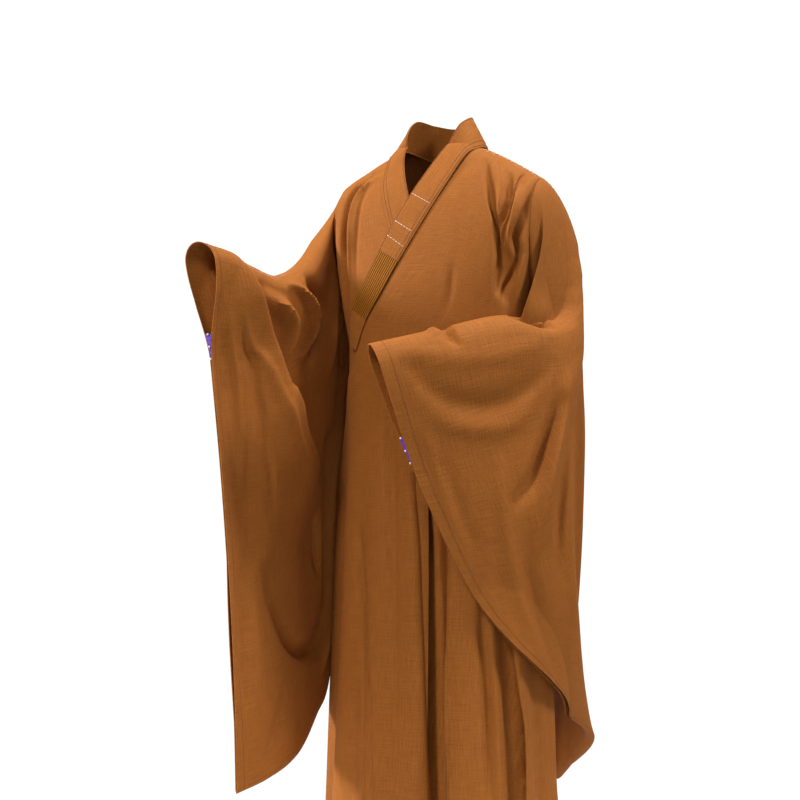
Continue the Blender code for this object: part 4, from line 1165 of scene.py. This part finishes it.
# The collar: how far it is padded, the share of a place between its pieces, and the pieces
COLLAR_PAD = 0.0007
COLLAR_PAD_SQUARE = 10
COLLAR_GAP = 0.01
COLLAR_PIECES = [
    # node, first place, last place, rows, columns, ribs, mesh, material
    ("collar_band", QUILT_TOP + COLLAR_GAP, len(COLLAR) - 1, 420, 31, 0,
     "collar_band_cloth", cloth_plain),
    ("collar_end", 0, QUILT_FOOT - COLLAR_GAP, 60, 31, 0, "collar_end_cloth", cloth_plain),
    ("collar_quilt", QUILT_FOOT, QUILT_TOP, 90, 121, QUILT_RIBS,
     "collar_quilt_stitched", cloth_ochre),
]


def collar_piece(first, last, rows, columns, ribs, name, material):
    """Part of the collar, a little padded between its edges, with lengthwise ribs or none."""
    places = np.linspace(first, last, rows)
    shares = np.linspace(0, 1, columns)
    raised = COLLAR_PAD * (1 - np.abs(2 * shares - 1) ** COLLAR_PAD_SQUARE)
    raised += RIB_HEIGHT * np.sin(math.pi * ribs * shares) ** 2
    base = collar(places, shares)
    outer = base + grid_normals(base) * raised[None, :, None]
    inner = collar(places, shares, extra=-WALL)
    return shell(name, outer[:, ::-1], inner[:, ::-1], material)


for node, *sizes in COLLAR_PIECES:
    made[node] = collar_piece(*sizes)

# The tacks: rows and columns of a web, the rows that have a knot, how far the web and the knots
# stand off the cuff, the turns of thread, and the shape of a knot
TACK_RUN = np.array([0.982, 1.0])
TACK_ROWS = 60
TACK_COLUMNS = 13
KNOT_ROWS = (1, 30, 58)
KNOT_RADIUS = 0.0019
KNOT_LIFT = 0.0012
TACK_LIFT = 0.0006
TURN_HEIGHT = 0.0003
TURN_STEP = 1.9
KNOT_PIERCED = 0.02
KNOT_RINGS, KNOT_AROUND = 14, 22
KNOT_UNEVEN = 0.07
KNOT_WAVES = (5, 7)
KNOT_HOLLOW = 0.8


def knot(name, place, size, material):
    """A small round knot of thread, a little uneven."""
    polar = np.linspace(KNOT_PIERCED, math.pi - KNOT_PIERCED, KNOT_RINGS)[:, None]
    turn = np.linspace(0, math.tau, KNOT_AROUND, endpoint=False)[None, :]
    radius = size * (1 + KNOT_UNEVEN * np.sin(KNOT_WAVES[0] * turn + KNOT_WAVES[1] * polar))
    ball = np.stack(
        [
            radius * np.sin(polar) * np.cos(turn),
            radius * np.sin(polar) * np.sin(turn),
            radius * np.cos(polar) * np.ones(turn.shape),
        ],
        axis=-1,
    )
    return shell(name, ball + place, ball * KNOT_HOLLOW + place, material, closed=True)


def tack_piece(name, table, folds):
    """The web of thread across a cuff's mouth, with a knot at its top, middle and foot."""
    rings = sleeve(table, folds, TACK_RUN, FINE_SHARES, inset=WALL)
    foot = len(FINE_SHARES)
    layers = (rings[:, :foot], np.concatenate([rings[:, :1], rings[:, : foot - 2 : -1]], axis=1))
    depths = np.linspace(TACK_TOP, TACK_FOOT, TACK_ROWS)
    near, far = [
        [read_off(depths, ring[0, 2] - ring[:, 2], ring) for ring in layer] for layer in layers
    ]
    inward = unit(near[0] + far[0] - near[1] - far[1])
    share = np.linspace(-1, 1, TACK_COLUMNS)[None, :, None]
    middle = ((near[1] + far[1]) / 2)[:, None, :]
    half = ((near[1] - far[1]) / 2)[:, None, :]
    wound = TURN_HEIGHT * np.sin(np.arange(TACK_ROWS) * TURN_STEP)[:, None, None]
    outer = middle + half * share - inward[:, None, :] * (TACK_LIFT + wound)
    inner = outer + inward[:, None, :] * TACK_THICK
    web = shell(name, outer[:, ::-1], inner[:, ::-1], purple)
    for index, row in enumerate(KNOT_ROWS):
        place = middle[row, 0] - inward[row] * KNOT_LIFT
        dot = knot(f"{name}_knot_{index}", place, KNOT_RADIUS, white)
        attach(dot, "root")
    return web


def collar_line(places, shares, lift):
    """Points and normals of a line on the collar, from one place and share to another."""
    at = np.linspace(places[0], places[1], CROSS_STEPS)
    across = np.linspace(shares[0], shares[1], CROSS_STEPS)
    grid = collar(at, across, extra=lift)
    normals = grid_normals(grid)
    index = np.arange(CROSS_STEPS)
    return grid[index, index], normals[index, index]


CROSS_STEPS = 60
CROSS_SHARES = (0.03, 0.97)
EDGE_STEPS = 400
EDGE_SIDE = 0.01
CROSS_LINES = [
    # place at the free edge, at the sewn edge, thread
    (5.02, 4.98, "white"),
    (4.02, 3.98, "white"),
    (3.52, 3.46, "white"),
    (4.62, 4.56, "brown"),
    (3.78, 3.72, "brown"),
    (3.05, 3.02, "brown"),
]
EDGE_LINES = [
    # first place, last place, share across the collar
    (3.05, 17.9, 0.80),
    (3.05, 17.9, 0.93),
    (0.05, 17.9, 0.03),
]
for index, (start, end, thread) in enumerate(CROSS_LINES):
    line, normals = collar_line((start, end), CROSS_SHARES, COLLAR_PAD)
    if thread == "white":
        sewn(f"collar_cross_{index}", line, normals, white, WHITE_HALF_WIDE, WHITE_LONG)
    else:
        sewn(f"collar_cross_{index}", line, normals, brown_thread)
for index, (start, end, share) in enumerate(EDGE_LINES):
    places = np.linspace(start, end, EDGE_STEPS)
    beside = np.array([share - EDGE_SIDE, share, share + EDGE_SIDE])
    line = collar(places, beside, extra=COLLAR_PAD)
    sewn(f"collar_edge_{index}", line[:, 1], grid_normals(line)[:, 1], brown_thread)

made["tack_right"] = tack_piece("tack_right_web", RIGHT_SLEEVE, RIGHT_SLEEVE_FOLDS)
made["tack_left"] = tack_piece("tack_left_web", LEFT_SLEEVE, LEFT_SLEEVE_FOLDS)

FLOOR_Z = -1.45
FLOOR_RADIUS = 1.15
FLOOR_SIDES = 96
FLOOR_GREY = (0.76, 0.76, 0.76, 1.0)
FLOOR_PALE = (0.80, 0.80, 0.80, 1.0)
WHITE = (1.0, 1.0, 1.0, 1.0)
BACKDROP = 1.05


def floor():
    mesh = bpy.data.meshes.new("floor")
    turns = np.arange(FLOOR_SIDES) / FLOOR_SIDES * math.tau
    rim = FLOOR_RADIUS * np.stack([np.cos(turns), np.sin(turns)], axis=-1)
    corners = [(x, y, FLOOR_Z) for x, y in rim.tolist()]
    mesh.from_pydata(corners, [], [tuple(range(FLOOR_SIDES))])
    material, tree = new_material("pale_floor")
    colour = mixed(tree, FLOOR_GREY, FLOOR_PALE, noise(tree, {"Scale": 3.0}))
    feed(tree, tree.nodes["Principled BSDF"], {"Base Color": colour, "Roughness": 0.9})
    mesh.materials.append(material)
    linked("floor", mesh)


def soft_light(name, place, aim, size, watts, colour):
    data = bpy.data.lights.new(name, "AREA")
    data.shape = "RECTANGLE"
    data.size, data.size_y = size
    data.energy = watts
    data.color = colour
    light = linked(name, data)
    light.location = place
    away = np.array(place) - np.array(aim)
    light.rotation_euler = (
        math.acos(away[2] / np.linalg.norm(away)),
        0.0,
        math.atan2(away[1], away[0]) + math.pi / 2,
    )


def studio():
    world = bpy.data.worlds.new("studio")
    world.use_nodes = True
    tree = world.node_tree
    shine = tree.nodes["Background"]
    feed(tree, shine, {"Color": WHITE, "Strength": AMBIENT})
    seen = added(tree, "Background", {"Color": WHITE, "Strength": BACKDROP})
    path = tree.nodes.new("ShaderNodeLightPath").outputs["Is Camera Ray"]
    both = added(tree, "MixShader", {0: path, 1: shine.outputs[0], 2: seen.outputs[0]})
    feed(tree, tree.nodes["World Output"], {"Surface": both.outputs[0]})
    bpy.context.scene.world = world
    bpy.context.scene.view_settings.view_transform = "Standard"
    for name, place, aim, size, watts, colour in LIGHTS:
        soft_light(name, place, aim, size, watts, colour)


AMBIENT = 0.08
LIGHTS = [
    # name, place, aimed at, size, watts, colour
    ("key_light", (-1.0, -4.5, 4.2), (0.0, 0.0, -0.4), (1.1, 1.1), 290.0, (1.0, 0.98, 0.94)),
    ("left_light", (-4.6, -2.2, 0.7), (0.0, 0.0, -0.7), (1.2, 1.6), 350.0, (1.0, 0.99, 0.95)),
    ("right_light", (4.3, 0.5, 2.6), (0.0, 0.0, -0.2), (1.2, 1.4), 200.0, (1.0, 0.99, 0.95)),
    ("front_light", (2.6, -4.0, 1.0), (0.0, 0.0, -0.4), (1.4, 1.4), 30.0, (1.0, 1.0, 1.0)),
    ("top_light", (0.8, 0.2, 3.2), (0.1, 0.0, 0.0), (1.2, 1.2), 115.0, (1.0, 1.0, 1.0)),
    ("back_light", (-1.2, 4.2, 1.6), (0.0, 0.0, -0.5), (1.6, 1.6), 85.0, (1.0, 1.0, 1.0)),
]
floor()
studio()

for node, piece in made.items():
    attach(piece, "root")
    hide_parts(node)
for extra in extras:
    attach(extra, "root")
